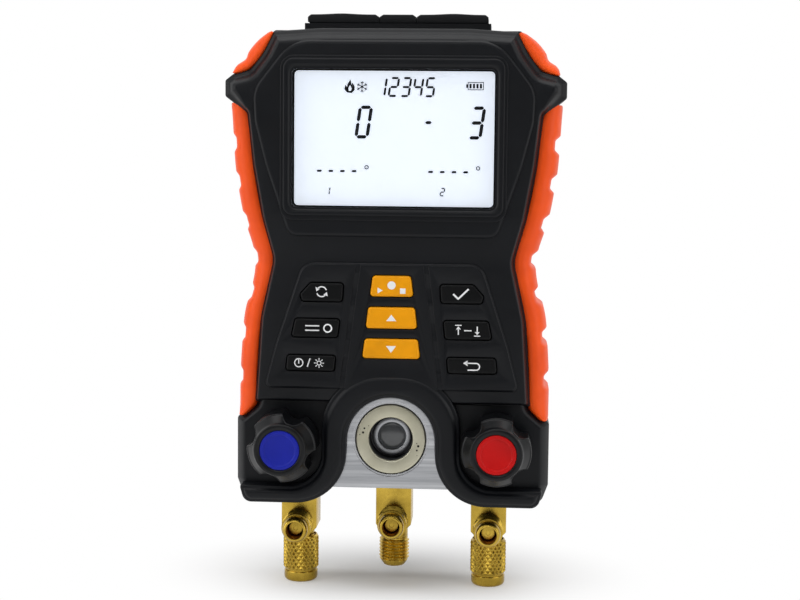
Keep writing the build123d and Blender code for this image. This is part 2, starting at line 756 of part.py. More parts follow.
# ---- display and board ----
def display_window():
    face = round_box(-WINDOW_HALF - LENS_LAP, WINDOW_HALF + LENS_LAP, WINDOW_LOW_Z - LENS_LAP,
                     WINDOW_HIGH_Z + LENS_LAP, WINDOW_R)
    return slab(face, SKIN_REAR_Y, SKIN_REAR_Y + LENS_T)


def lcd_panel():
    half = WINDOW_HALF + LCD_LAP
    return slab(box(-half, half, WINDOW_LOW_Z - LCD_LOW_LAP, WINDOW_HIGH_Z + LCD_LAP), LCD_Y, LIGHT_Y)


def backlight_plate():
    half = WINDOW_HALF + LCD_LAP
    return slab(box(-half, half, WINDOW_LOW_Z - LCD_LAP, WINDOW_HIGH_Z + LCD_LAP), LIGHT_Y, BOARD_Y)


def board_holes(grow):
    holes = disc(*screw_places(SHELL_SCREWS)[0], BOSS_R + grow)
    for x, z in screw_places(SHELL_SCREWS)[1:]:
        holes += disc(x, z, BOSS_R + grow)
    return holes


def keypad_mat():
    face = box(-MAT_HALF, MAT_HALF, MAT_LOW_Z, MAT_HIGH_Z) - board_holes(MAT_BOSS_GAP)
    mat = slab(face, MAT_Y, MAT_Y + MAT_T)
    for corners in key_outlines().values():
        x, z = key_centre(corners)
        mat += rod_y(x, z, DOME_R, MAT_Y + MAT_T - OVERLAP, SWITCH_Y)
    return mat


def main_board():
    face = box(-BOARD_HALF, BOARD_HALF, BOARD_LOW_Z, BOARD_HIGH_Z) - board_holes(BOSS_GAP)
    return slab(face, BOARD_Y, BOARD_Y + BOARD_T)


def key_switches():
    switches = []
    half = SWITCH_SIDE / 2
    for corners in key_outlines().values():
        x, z = key_centre(corners)
        face = round_box(x - half, x + half, z - half, z + half, SWITCH_CORNER_R)
        can_y = SWITCH_Y + SWITCH_STEM_H
        stem = rod_y(x, z, SWITCH_STEM_R, SWITCH_Y, can_y + OVERLAP)
        switches.append(slab(face, can_y, BOARD_Y) + stem)
    return switches


def board_components():
    rear = BOARD_Y + BOARD_T
    pieces = []
    for x, z, wide, high, thick in CHIPS:
        pieces.append(slab(box(x - wide / 2, x + wide / 2, z - high / 2, z + high / 2), rear, rear + thick))
    for x, z in CANS:
        pieces.append(rod_y(x, z, CAN_R, rear, rear + CAN_H))
    return pieces


# ---- cells ----
def cell_places():
    return [(i - (CELL_COUNT - 1) / 2) * CELL_PITCH for i in range(CELL_COUNT)]


def batteries():
    low = BAY_LOW_Z + CONTACT_T + SPRING_H
    cells = []
    for x in cell_places():
        body = turned([(0, 0), (CELL_R - CELL_EDGE, 0), (CELL_R, CELL_EDGE), (CELL_R, CELL_L - CELL_EDGE),
                       (CELL_R - CELL_EDGE, CELL_L), (CELL_NUB_R, CELL_L),
                       (CELL_NUB_R, CELL_L + CELL_NUB_H), (0, CELL_L + CELL_NUB_H)])
        cells.append(Pos(x, cell_axis_y(), low) * body)
    return cells


def battery_contacts():
    contacts = []
    for x in cell_places():
        spring = turned([(0, 0), (SPRING_FOOT_R, 0), (SPRING_TIP_R, SPRING_H), (0, SPRING_H)])
        plate = Box(CONTACT_W, CONTACT_H, CONTACT_T)
        low = Pos(x, cell_axis_y(), BAY_LOW_Z + CONTACT_T / 2) * plate
        contacts.append(low + Pos(x, cell_axis_y(), BAY_LOW_Z + CONTACT_T) * spring)
        contacts.append(Pos(x, cell_axis_y(), bay_high_z() - CONTACT_T / 2) * plate)
    return contacts


def battery_door():
    door = slab(door_box(0), REAR_Y - DOOR_T, REAR_Y)
    top = bay_high_z() + DOOR_LAP - DOOR_LATCH_FROM
    latch = box(-DOOR_LATCH_W / 2, DOOR_LATCH_W / 2, top - DOOR_LATCH_H, top)
    door -= slab(latch, REAR_Y - DOOR_LATCH_DEEP, REAR_Y + OVERCUT)
    for i in range(DOOR_RIBS):
        z = BAY_LOW_Z + DOOR_RIB_FROM + i * DOOR_RIB_PITCH
        groove = box(-DOOR_RIB_HALF, DOOR_RIB_HALF, z, z + DOOR_RIB_W)
        door -= slab(groove, REAR_Y - DOOR_RIB_DEEP, REAR_Y + OVERCUT)
    return door


# ---- manifold block ----
def manifold_block():
    face = box(-KNOB_X, KNOB_X, BLOCK_LOW_Z, KNOB_Z)
    face -= disc(KNOB_X, KNOB_Z, LOBE_R + SHELL_GAP) + disc(-KNOB_X, KNOB_Z, LOBE_R + SHELL_GAP)
    arch = ARCH_R - SHELL_GAP
    face += box(-arch, arch, KNOB_Z - TOUCH, ARCH_Z) + disc(0, ARCH_Z, arch)
    block = slab(box(-BLOCK_HALF, BLOCK_HALF, BLOCK_LOW_Z, BLOCK_HIGH_Z), BLOCK_BODY_Y, BLOCK_REAR_Y)
    block += slab(face, BLOCK_FACE_Y, BLOCK_BODY_Y + ROOT)
    block -= rod_y(0, GLASS_Z, RING_SEAT_R, BLOCK_FACE_Y - OVERCUT, RING_FLANGE_Y)
    block -= rod_y(0, GLASS_Z, RING_SHANK_R + SEAT_GAP, BLOCK_FACE_Y - OVERCUT, RING_END_Y)
    block -= rod_y(0, GLASS_Z, GLASS_VIEW_R, BLOCK_FACE_Y, GALLERY_Y)
    block -= rod_z(0, PORT_Y, PORT_BORE_R, BLOCK_LOW_Z, GLASS_Z)
    for side in (1, -1):
        x = side * KNOB_X
        block -= rod_y(x, KNOB_Z, CAVITY_R, BLOCK_BODY_Y - OVERCUT, SEAT_Y)
        block -= rod_y(x, KNOB_Z, PASSAGE_R, SEAT_Y - OVERCUT, GALLERY_Y)
        block -= rod_z(side * PORT_X, PORT_Y, PORT_BORE_R, BLOCK_LOW_Z, KNOB_Z)
        block -= rod_z(x, SENSOR_Y, SENSOR_THREAD_R + SEAT_GAP, BLOCK_HIGH_Z - SENSOR_THREAD_L,
                       BLOCK_HIGH_Z + OVERCUT)
        block -= rod_z(x, SENSOR_Y, PASSAGE_R, KNOB_Z, BLOCK_HIGH_Z)
    for x in (-PORT_X, 0, PORT_X):
        block -= rod_z(x, PORT_Y, PORT_SHANK_R + SEAT_GAP, BLOCK_LOW_Z - OVERCUT, BLOCK_LOW_Z + PORT_SHANK_L)
    block -= rod_x(GALLERY_Y, KNOB_Z, GALLERY_R, -KNOB_X, BLOCK_HALF + OVERCUT)
    block -= rod_x(GALLERY_Y, KNOB_Z, PLUG_R, BLOCK_HALF - PLUG_L, BLOCK_HALF + OVERCUT)
    for x, z in screw_places(BLOCK_SCREWS):
        block -= rod_y(x, z, SCREW_R + SCREW_GAP, BLOCK_BODY_Y - OVERCUT, BLOCK_REAR_Y + OVERCUT)
    return block


def gallery_plug():
    plug = rod_x(GALLERY_Y, KNOB_Z, PLUG_R - SEAT_GAP, BLOCK_HALF - PLUG_L, BLOCK_HALF)
    return plug - rod_x(GALLERY_Y, KNOB_Z, PLUG_KEY_R, BLOCK_HALF - PLUG_KEY_L, BLOCK_HALF + OVERCUT)


def pressure_sensors():
    body = turned([(0, -SENSOR_THREAD_L), (SENSOR_THREAD_R, -SENSOR_THREAD_L), (SENSOR_THREAD_R, OVERLAP),
                   (0, OVERLAP)])
    body += extrude(RegularPolygon(SENSOR_HEX_AF / 2, 6, major_radius=False), amount=SENSOR_HEX_T)
    body += turned([(0, SENSOR_HEX_T - OVERLAP), (SENSOR_CAN_R, SENSOR_HEX_T - OVERLAP),
                    (SENSOR_CAN_R, SENSOR_HEX_T + SENSOR_CAN_H), (0, SENSOR_HEX_T + SENSOR_CAN_H)])
    body -= turned([(0, -SENSOR_THREAD_L - OVERCUT), (SENSOR_INLET_R, -SENSOR_THREAD_L - OVERCUT),
                    (SENSOR_INLET_R, SENSOR_INLET_TOP), (0, SENSOR_INLET_TOP)])
    return [Pos(side * KNOB_X, SENSOR_Y, BLOCK_HIGH_Z) * body for side in (1, -1)]


# ---- sight glass ----
def sight_glass_ring():
    depth = RING_END_Y - RING_FACE_Y
    flange = RING_END_Y - RING_FLANGE_Y
    step = RING_END_Y - RING_STEP_Y
    pocket = GLASS_T + GLASS_SEAL_T
    seat = GLASS_R + SEAT_GAP
    ring = turned([(seat, 0), (RING_SHANK_R, 0), (RING_SHANK_R, flange), (RING_R, flange),
                   (RING_R, depth - RING_EDGE), (RING_R - RING_EDGE, depth), (RING_BORE_R, depth),
                   (RING_BORE_R, step), (GLASS_VIEW_R, step), (GLASS_VIEW_R, pocket), (seat, pocket)])
    ring = to_front(ring, 0, RING_END_Y, GLASS_Z)
    mid = (RING_R + RING_BORE_R) / 2
    for angle in SPANNER_ANGLES:
        x = mid * math.cos(math.radians(angle))
        z = GLASS_Z + mid * math.sin(math.radians(angle))
        ring -= rod_y(x, z, SPANNER_R, RING_FACE_Y - OVERCUT, RING_FACE_Y + SPANNER_DEEP)
    return ring


def sight_glass():
    front = RING_END_Y - GLASS_SEAL_T - GLASS_T
    return rod_y(0, GLASS_Z, GLASS_R, front, front + GLASS_T)


def sight_glass_seal():
    front = RING_END_Y - GLASS_SEAL_T
    hole = rod_y(0, GLASS_Z, GLASS_VIEW_R, front - OVERCUT, RING_END_Y + OVERCUT)
    return rod_y(0, GLASS_Z, GLASS_R, front, RING_END_Y) - hole


# ---- valves: every piece is turned about Z with its top to the front, then laid at the knob's axis ----
def valve_knob(turn):
    front = -KNOB_FRONT_Y
    rear = -KNOB_REAR_Y
    knob = turned([(0, rear), (KNOB_R - KNOB_REAR_EDGE, rear), (KNOB_R, rear + KNOB_REAR_EDGE),
                   (KNOB_R, -KNOB_TIP_Y), (KNOB_DISC_R, front), (0, front)])
    for i in range(KNOB_LOBES):
        angle = math.radians(45 + turn + i * 360 / KNOB_LOBES)
        cutter = Pos(KNOB_NOTCH_AT * math.cos(angle), KNOB_NOTCH_AT * math.sin(angle), 0)
        knob -= cutter * Cylinder(KNOB_NOTCH_R, 3 * (front + KNOB_REAR_Y))
    knob -= turned([(0, -KNOB_REAR_Y - OVERCUT), (KNOB_SKIRT_R, -KNOB_REAR_Y - OVERCUT),
                    (KNOB_SKIRT_R, -KNOB_WEB_REAR_Y), (0, -KNOB_WEB_REAR_Y)])
    bore = STEM_R + SEAT_GAP
    pocket = KNOB_SCREW_HEAD_R + SCREW_POCKET_GAP
    seat = INLAY_R + SEAT_GAP
    knob -= turned([(0, -KNOB_WEB_REAR_Y - OVERCUT), (bore, -KNOB_WEB_REAR_Y - OVERCUT),
                    (bore, -KNOB_WEB_FRONT_Y), (pocket, -KNOB_WEB_FRONT_Y), (pocket, front - INLAY_T),
                    (seat, front - INLAY_T), (seat, front + OVERCUT), (0, front + OVERCUT)])
    return knob


def knob_inlay():
    rear = -KNOB_FRONT_Y - INLAY_T
    front = -KNOB_FRONT_Y - INLAY_DROP
    dish = front - INLAY_DISH_T
    return turned([(0, rear), (INLAY_R, rear), (INLAY_R, front), (INLAY_DISH_R, front),
                   (INLAY_DISH_R - INLAY_DISH_T, dish), (0, dish)])


def knob_screw():
    seat = -KNOB_WEB_FRONT_Y
    return turned([(0, seat - KNOB_SCREW_L), (KNOB_SCREW_R, seat - KNOB_SCREW_L), (KNOB_SCREW_R, seat),
                   (KNOB_SCREW_HEAD_R, seat), (KNOB_SCREW_HEAD_R, seat + KNOB_SCREW_HEAD_T),
                   (0, seat + KNOB_SCREW_HEAD_T)])


def valve_stem():
    collar = -KNOB_WEB_REAR_Y
    stem = turned([(0, -PISTON_HEAD_Y), (STEM_R, -PISTON_HEAD_Y), (STEM_R, collar - STEM_COLLAR_T),
                   (STEM_COLLAR_R, collar - STEM_COLLAR_T), (STEM_COLLAR_R, collar), (STEM_R, collar),
                   (STEM_R, -KNOB_WEB_FRONT_Y), (0, -KNOB_WEB_FRONT_Y)])
    low = -KNOB_WEB_FRONT_Y - KNOB_SCREW_L - SCREW_TIP_GAP
    top = -KNOB_WEB_FRONT_Y + OVERCUT
    bore = KNOB_SCREW_R + SEAT_GAP
    return stem - turned([(0, low), (bore, low), (bore, top), (0, top)])


def valve_bonnet():
    bore = STEM_R + RUNNING
    shank = CAVITY_R - SEAT_GAP
    return turned([(bore, -BONNET_END_Y), (shank, -BONNET_END_Y), (shank, -BLOCK_BODY_Y),
                   (BONNET_FLANGE_R, -BLOCK_BODY_Y), (BONNET_FLANGE_R, -BONNET_FLANGE_Y),
                   (BONNET_NOSE_R, -BONNET_FLANGE_Y), (BONNET_NOSE_R, -BONNET_NOSE_Y),
                   (bore, -BONNET_NOSE_Y)])


def bonnet_seal():
    bore = STEM_R + RUNNING
    edge = CAVITY_R - SEAT_GAP
    low = -BONNET_END_Y - RING_SEAL_T
    return turned([(bore, low), (edge, low), (edge, -BONNET_END_Y), (bore, -BONNET_END_Y)])


def valve_piston():
    head = -PISTON_HEAD_Y
    face = TOUCH - SEAT_Y
    return turned([(0, face), (PISTON_FACE_R, face), (PISTON_TIP_R, PISTON_CONE_L - SEAT_Y),
                   (PISTON_TIP_R, head - PISTON_HEAD_T), (CAVITY_R - RUNNING, head - PISTON_HEAD_T),
                   (CAVITY_R - RUNNING, head), (0, head)])


def at_knob(shape, side):
    return to_front(shape, side * KNOB_X, 0, KNOB_Z)


# ---- ports ----
def thread_points(start, crests):
    """Ring-grooved thread, going up from its first root."""
    points = []
    quarter = THREAD_PITCH / 4
    for i in range(crests):
        z = start + i * THREAD_PITCH
        points += [(THREAD_R - THREAD_DEPTH, z), (THREAD_R, z + quarter), (THREAD_R, z + 2 * quarter),
                   (THREAD_R - THREAD_DEPTH, z + 3 * quarter)]
    return points


def port_crests():
    return int((PORT_THREAD_TOP_Z - PORT_THREAD_LOW_Z) / THREAD_PITCH)


def stub():
    """The hose parking stub, standing up from z 0."""
    end = STUB_ROOT_L + STUB_THREADS * THREAD_PITCH
    ring = end + STUB_GROOVE_L
    nose = ring + STUB_RING_L
    hole = STUB_L - STUB_HOLE_L
    return turned([(0, -ROOT), (STUB_ROOT_R, -ROOT)] + thread_points(STUB_ROOT_L, STUB_THREADS) + [
        (STUB_GROOVE_R, end), (STUB_GROOVE_R, ring), (STUB_RING_R, ring + STUB_EDGE),
        (STUB_RING_R, nose - STUB_EDGE), (STUB_NOSE_R, nose), (STUB_NOSE_R, STUB_L - STUB_NOSE_L),
        (STUB_END_R, STUB_L), (STUB_HOLE_R, STUB_L), (STUB_HOLE_R, hole), (0, hole - STUB_DRILL_L)])


def port(x, low, top):
    """A flare port: a square body with its shank, its lower thread and its parking stub."""
    body = Pos(x, PORT_Y, (low + top) / 2) * Box(PORT_BODY, PORT_BODY_DEPTH, top - low)
    corners = [e for e in body.edges().filter_by(Axis.Y) if e.center().Z < low + OVERLAP]
    body = chamfer(corners, PORT_CHAMFER)
    front_y = PORT_Y - PORT_BODY_DEPTH / 2
    body += rod_z(x, PORT_Y, PORT_SHANK_R, top - OVERLAP, BLOCK_LOW_Z + PORT_SHANK_L)
    cone = [(0, PORT_NOSE_Z), (PORT_NOSE_R, PORT_NOSE_Z),
            (THREAD_R - THREAD_DEPTH, PORT_THREAD_LOW_Z - PORT_SHOULDER)]
    neck = [(PORT_NECK_R, PORT_THREAD_TOP_Z), (PORT_NECK_R, low + OVERLAP), (0, low + OVERLAP)]
    tail = turned(cone + thread_points(PORT_THREAD_LOW_Z, port_crests()) + neck)
    body += Pos(x, PORT_Y, 0) * tail
    body += to_front(stub(), x, front_y, low + STUB_RISE)
    bore_top = BLOCK_LOW_Z + PORT_SHANK_L + OVERCUT
    return body - rod_z(x, PORT_Y, PORT_BORE_R, PORT_NOSE_Z - OVERCUT, bore_top)


def port_cap():
    bore = THREAD_R + RUNNING
    return turned([(0, 0), (CAP_END_R - CAP_EDGE, 0), (CAP_END_R, CAP_EDGE),
                   (CAP_END_R, CAP_WAIST_Z - CAP_GROOVE), (CAP_GROOVE_R, CAP_WAIST_Z),
                   (CAP_R, CAP_WAIST_Z + CAP_SHOULDER), (CAP_R, CAP_H - CAP_RIM), (CAP_END_R, CAP_H),
                   (bore, CAP_H), (bore, CAP_FLOOR_Z), (0, CAP_FLOOR_Z)])


def cap_gasket():
    edge = THREAD_R - GASKET_LESS
    top = PORT_NOSE_Z - TOUCH
    return turned([(0, CAP_FLOOR_Z), (edge, CAP_FLOOR_Z), (edge, top), (0, top)])


# ---- top covers ----
def cover_profile(points):
    return slab(make_face(Polyline(*points, close=True)), COVER_FRONT_Y, COVER_REAR_Y)


def cover_anchor():
    edge = COVER_HINGE_X - COVER_GAP / 2
    top = edge - NOTCH_W
    notch_z = COVER_HIGH_Z - NOTCH_T
    return cover_profile([(-edge, COVER_LOW_Z), (edge, COVER_LOW_Z), (edge, notch_z), (top, COVER_HIGH_Z),
                          (-top, COVER_HIGH_Z), (-edge, notch_z)])


def right_probe_cover():
    edge = COVER_HINGE_X + COVER_GAP / 2
    low = COVER_LOW_Z + COVER_LIFT
    return cover_profile([(edge, low), (COVER_HALF - COVER_EDGE, low), (COVER_HALF, low + COVER_EDGE),
                          (COVER_HALF, COVER_HIGH_Z - COVER_EDGE), (COVER_HALF - COVER_EDGE, COVER_HIGH_Z),
                          (edge + NOTCH_W, COVER_HIGH_Z), (edge, COVER_HIGH_Z - NOTCH_T)])


def probe_sockets():
    sockets = []
    for side in (1, -1):
        top = COVER_LOW_Z - SOCKET_DROP
        low = top - SOCKET_L
        end = low + SOCKET_END_T
        body = turned([(0, low), (SOCKET_R, low), (SOCKET_R, top), (SOCKET_BORE_R, top), (SOCKET_BORE_R, end),
                       (0, end)])
        nut_top = TOP_Z - WALL
        nut_low = nut_top - SOCKET_FLANGE_T
        inner = SOCKET_R - OVERLAP
        body += turned([(inner, nut_low), (SOCKET_FLANGE_R, nut_low), (SOCKET_FLANGE_R, nut_top),
                        (inner, nut_top)])
        sockets.append(Pos(side * SOCKET_X, socket_y(), 0) * body)
    return sockets


# ---- hook ----
def hanging_hook():
    ring = disc(0, HOOK_CENTRE_Z, HOOK_OUT_R) - disc(0, HOOK_CENTRE_Z, HOOK_IN_R)
    reach = 2 * HOOK_OUT_R
    start = math.radians(HOOK_GAP_FROM)
    end = math.radians(HOOK_GAP_TO)
    gap = make_face(Polyline((0, HOOK_CENTRE_Z),
                             (reach * math.cos(start), HOOK_CENTRE_Z + reach * math.sin(start)),
                             (reach * math.cos(end), HOOK_CENTRE_Z + reach * math.sin(end)), close=True))
    face = (ring - gap) + (box(-HOOK_STEM_HALF, HOOK_STEM_HALF, HOOK_CENTRE_Z, HOOK_PIVOT_Z)
                           - disc(0, HOOK_CENTRE_Z, HOOK_IN_R))
    hook = slab(face, HOOK_MID_Y - HOOK_T / 2, HOOK_REAR_Y)
    hook += rod_x(HOOK_MID_Y, HOOK_PIVOT_Z, HOOK_BARREL_R, -HOOK_BARREL_HALF, HOOK_BARREL_HALF)
    end = HOOK_BARREL_HALF + OVERCUT
    return hook - rod_x(HOOK_MID_Y, HOOK_PIVOT_Z, HOOK_PIN_R + RUNNING, -end, end)


def hook_pin():
    return rod_x(HOOK_MID_Y, HOOK_PIVOT_Z, HOOK_PIN_R, -RECESS_HALF - PIN_BITE, RECESS_HALF + PIN_BITE)


# ---- screws ----
def screw(x, z, seat, tip):
    """A pan-head screw driven from the rear: its head seats at one depth and its tip ends at another."""
    head = rod_y(x, z, SCREW_HEAD_R, seat, seat + SCREW_HEAD_T)
    top = seat + SCREW_HEAD_T
    head -= rod_y(x, z, SCREW_SLOT_R, top - SCREW_SLOT_DEEP, top + OVERCUT)
    return head + rod_y(x, z, SCREW_R - TOUCH, tip, seat + OVERLAP)


def housing_screws():
    tip = PARTING_Y - SCREW_BITE + SCREW_TIP_GAP
    return [screw(x, z, SCREW_SEAT_Y, tip) for x, z in screw_places(SHELL_SCREWS)]


def block_screws():
    tip = RIM_Y + BLOCK_SCREW_END + SCREW_TIP_GAP
    return [screw(x, z, BLOCK_REAR_Y, tip) for x, z in screw_places(BLOCK_SCREWS)]


# ---- write every piece ----
save("front_shell", front_shell())
save("rear_shell", rear_shell())
save("housing_seal", slab(seal_face(), PARTING_Y, PARTING_Y + SEAL_T))
save("right_side_grip", side_grip())
save("left_side_grip", mirrored(side_grip()))
save("right_upper_grip", corner_grip())
save("left_upper_grip", mirrored(corner_grip()))
save("display_window", display_window())
save("lcd_panel", lcd_panel())
save("backlight_plate", backlight_plate())
for key_name, key_corners in key_outlines().items():
    save(key_name, key(key_corners))
save("keypad_mat", keypad_mat())
save("main_board", main_board())
save("key_switches", key_switches())
save("board_components", board_components())
save("batteries", batteries())
save("battery_contacts", battery_contacts())
save("battery_door", battery_door())
save("manifold_block", manifold_block())
save("gallery_plug", gallery_plug())
save("pressure_sensors", pressure_sensors())
save("sight_glass_ring", sight_glass_ring())
save("sight_glass", sight_glass())
save("sight_glass_seal", sight_glass_seal())
save("bonnet_seals", [at_knob(bonnet_seal(), side) for side in (1, -1)])
for valve, side, turn in (("high", 1, 0.0), ("low", -1, LOW_KNOB_TURN)):
    save(f"{valve}_valve_knob", at_knob(valve_knob(turn), side))
    save(f"{valve}_knob_inlay", at_knob(knob_inlay(), side))
    save(f"{valve}_knob_screw", at_knob(knob_screw(), side))
    save(f"{valve}_valve_stem", at_knob(valve_stem(), side))
    save(f"{valve}_valve_bonnet", at_knob(valve_bonnet(), side))
    save(f"{valve}_valve_piston", at_knob(valve_piston(), side))
    save(f"{valve}_port", port(side * PORT_X, SIDE_BODY_LOW_Z, BOTTOM_Z - SIDE_BODY_GAP))
    save(f"{valve}_port_cap", Pos(side * PORT_X, PORT_Y, 0) * port_cap())
    save(f"{valve}_cap_gasket", Pos(side * PORT_X, PORT_Y, 0) * cap_gasket())
save("centre_port", port(0, CENTRE_BODY_LOW_Z, BLOCK_LOW_Z - WALL - CENTRE_BODY_GAP))
save("probe_sockets", probe_sockets())
save("cover_anchor", cover_anchor())
save("right_probe_cover", right_probe_cover())
save("left_probe_cover", mirrored(right_probe_cover()))
save("hanging_hook", hanging_hook())
save("hook_pin", hook_pin())
save("housing_screws", housing_screws())
save("block_screws", block_screws())
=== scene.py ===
# %% Load the frame
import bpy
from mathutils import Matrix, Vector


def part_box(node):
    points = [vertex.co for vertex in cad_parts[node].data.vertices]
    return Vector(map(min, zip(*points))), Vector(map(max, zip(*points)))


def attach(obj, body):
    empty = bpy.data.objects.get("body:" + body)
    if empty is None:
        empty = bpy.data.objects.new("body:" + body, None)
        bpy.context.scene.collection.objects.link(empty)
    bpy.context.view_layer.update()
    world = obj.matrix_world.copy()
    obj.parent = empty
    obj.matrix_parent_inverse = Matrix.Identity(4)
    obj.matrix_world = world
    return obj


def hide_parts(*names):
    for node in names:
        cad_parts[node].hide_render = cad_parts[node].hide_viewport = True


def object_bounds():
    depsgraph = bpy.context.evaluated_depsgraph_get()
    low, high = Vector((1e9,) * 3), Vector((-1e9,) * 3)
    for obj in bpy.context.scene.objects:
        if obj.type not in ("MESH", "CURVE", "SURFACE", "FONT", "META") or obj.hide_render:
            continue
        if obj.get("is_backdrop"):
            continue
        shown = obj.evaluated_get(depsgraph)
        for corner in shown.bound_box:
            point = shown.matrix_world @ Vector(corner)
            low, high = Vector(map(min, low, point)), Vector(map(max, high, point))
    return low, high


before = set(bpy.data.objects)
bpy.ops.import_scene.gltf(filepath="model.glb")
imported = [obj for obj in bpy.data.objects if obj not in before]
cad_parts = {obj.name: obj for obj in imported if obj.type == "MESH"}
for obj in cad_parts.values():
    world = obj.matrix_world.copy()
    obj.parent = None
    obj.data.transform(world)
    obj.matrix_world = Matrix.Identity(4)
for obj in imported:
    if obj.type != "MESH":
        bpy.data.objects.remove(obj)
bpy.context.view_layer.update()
print("frame loaded with", len(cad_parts), "nodes")

# %% [markdown]
# # A refrigerant manifold gauge, dressed piece by piece
# The frame that was just loaded holds the instrument's solids at their real size, grouped in the bodies
# that move. Every cell below makes one visible piece or finish of it. Most pieces are drawn again as
# meshes, because moulded plastic, cut threads and knurls live from small roundings and grooves.

# %% The gauge's own millimetres
import math
import bmesh
import bpy
from mathutils import Matrix, Vector
from mathutils.geometry import tessellate_polygon

MM = 0.001
SAME_PLACE = 1e-7         # metres; points closer than this become one
KEY_PLANE_DEPTH = 2.0     # depth of the key panel's plane behind the foremost face of the front shell
BASE = Vector((0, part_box("front_shell")[0].y + KEY_PLANE_DEPTH * MM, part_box("low_port_cap")[0].z))


def row(x, y, z):
    """A point in gauge millimetres (Z from the port caps' lower ends) as metres in the frame."""
    return Vector((x, y, z)) * MM + BASE


def gauge(node):
    """A node's box in gauge millimetres."""
    low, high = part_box(node)
    return (low - BASE) / MM, (high - BASE) / MM


print("gauge frame starts at", [round(v, 4) for v in BASE])

# %% [markdown]
# ## Outlines
# The housing, its panels and its keys are outlines with rounded corners, pushed to a depth and softened
# at their edges. So a corner is written as x, z and radius, and one helper turns corners into points.
# Every outline keeps its count of points when it is drawn in, and rings of points can be joined directly.

# %% Rounded corners
STEPS = 6                 # steps round a small corner
BIG_STEPS = 18            # and round a large one, from this radius on
BIG_RADIUS = 9.0
LEAST_RADIUS = 0.15
SIDE_SHARE = 0.499        # a corner takes less than half of a side


def corner_points(before, corner, after, radius, steps):
    back = (before - corner)
    ahead = (after - corner)
    half = back.angle(ahead) / 2
    reach = min(radius / math.tan(half), SIDE_SHARE * back.length, SIDE_SHARE * ahead.length)
    radius = reach * math.tan(half)
    middle = (back.normalized() + ahead.normalized()).normalized()
    centre = corner + middle * (radius / math.sin(half))
    start = corner + back.normalized() * reach - centre
    cross = back.x * ahead.y - back.y * ahead.x
    sweep = (math.pi - 2 * half) * (-1 if cross > 0 else 1)
    points = []
    for i in range(steps + 1):
        angle = sweep * i / steps
        points.append(centre + Vector((start.x * math.cos(angle) - start.y * math.sin(angle),
                                       start.x * math.sin(angle) + start.y * math.cos(angle))))
    return points


def ring_of(corners, draw=0.0):
    """The points of an outline whose sides are all drawn in by one distance."""
    count = len(corners)
    moved = []
    for i, (x, z, r) in enumerate(corners):
        here = Vector((x, z))
        before = (here - Vector(corners[i - 1][:2])).normalized()
        after = (Vector(corners[(i + 1) % count][:2]) - here).normalized()
        side_a = Vector((before.y, -before.x))
        side_b = Vector((after.y, -after.x))
        bisector = (side_a + side_b).normalized()
        convex = before.x * after.y - before.y * after.x < 0
        radius = max(r - draw if convex else r + draw, LEAST_RADIUS)
        moved.append((here + bisector * (draw / bisector.dot(side_a)), radius))
    points = []
    for i, (here, radius) in enumerate(moved):
        steps = BIG_STEPS if corners[i][2] >= BIG_RADIUS else STEPS
        points += corner_points(moved[i - 1][0], here, moved[(i + 1) % count][0], radius, steps)
    return points


print("a small corner has", STEPS + 1, "points and a large one", BIG_STEPS + 1)

# %% [markdown]
# ### Whole outlines
# To draw an outline in, every side is moved by the same distance and the corners are rounded anew. Scaling
# it down would be shorter, but it would make a bevel wide where the outline is far from its middle.

# %% Whole outlines
def mirrored(corners):
    """The left half that belongs to a right one."""
    return [(-x, z, r) for x, z, r in reversed(corners)]


def both(corners):
    """A right half from the top down, completed with its mirror image."""
    return list(corners) + mirrored(corners)


def box_corners(x0, x1, z0, z1, radius):
    return [(x0, z1, radius), (x1, z1, radius), (x1, z0, radius), (x0, z0, radius)]


def soft_edge(radius, face, steps=5, slope=1.0):
    """Layers (drawn in, depth) that round an edge onto a front face at one depth."""
    layers = []
    for i in range(steps + 1):
        angle = math.pi / 2 * i / steps
        layers.append((radius * slope * (1 - math.cos(angle)), face + radius * (1 - math.sin(angle))))
    return layers + [(layers[-1][0] + 0.25, face)]


print("a square with rounded corners has", len(ring_of(box_corners(0, 1, 0, 1, 0.2))), "points")

# %% [markdown]
# ## From points to a piece
# Every piece goes the same way from points to a mesh: doubled points are merged, normals are turned
# outwards, and edges that bend more than a given angle stay sharp while all others are shaded smooth. Then
# the piece is tied to the body that it moves with, and the solid whose place it takes is hidden.

# %% Making a piece
def build(name, verts, faces, material, body, node=None, slot=None, sharp=32):
    """A mesh piece from points in gauge millimetres, riding on a body."""
    mesh = bpy.data.meshes.new(name)
    mesh.from_pydata([row(*v) for v in verts], [], faces)
    mesh.validate()
    work = bmesh.new()
    work.from_mesh(mesh)
    bmesh.ops.remove_doubles(work, verts=work.verts, dist=SAME_PLACE)
    bmesh.ops.dissolve_degenerate(work, edges=work.edges, dist=SAME_PLACE)
    bmesh.ops.recalc_face_normals(work, faces=work.faces)
    work.to_mesh(mesh)
    work.free()
    mesh.polygons.foreach_set("use_smooth", [True] * len(mesh.polygons))
    mesh.set_sharp_from_angle(angle=math.radians(sharp))
    piece = bpy.data.objects.new(name, mesh)
    bpy.context.scene.collection.objects.link(piece)
    mesh.materials.append(material)
    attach(piece, body)
    if node:
        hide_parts(node)


print("pieces can replace", len(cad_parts), "nodes")

# %% [markdown]
# ## Rings of points
# Almost every piece here is a run of rings, joined one to the next and closed at its ends. A ring only
# remembers the numbers of its points, so that faces can be made between any two rings of the same count.

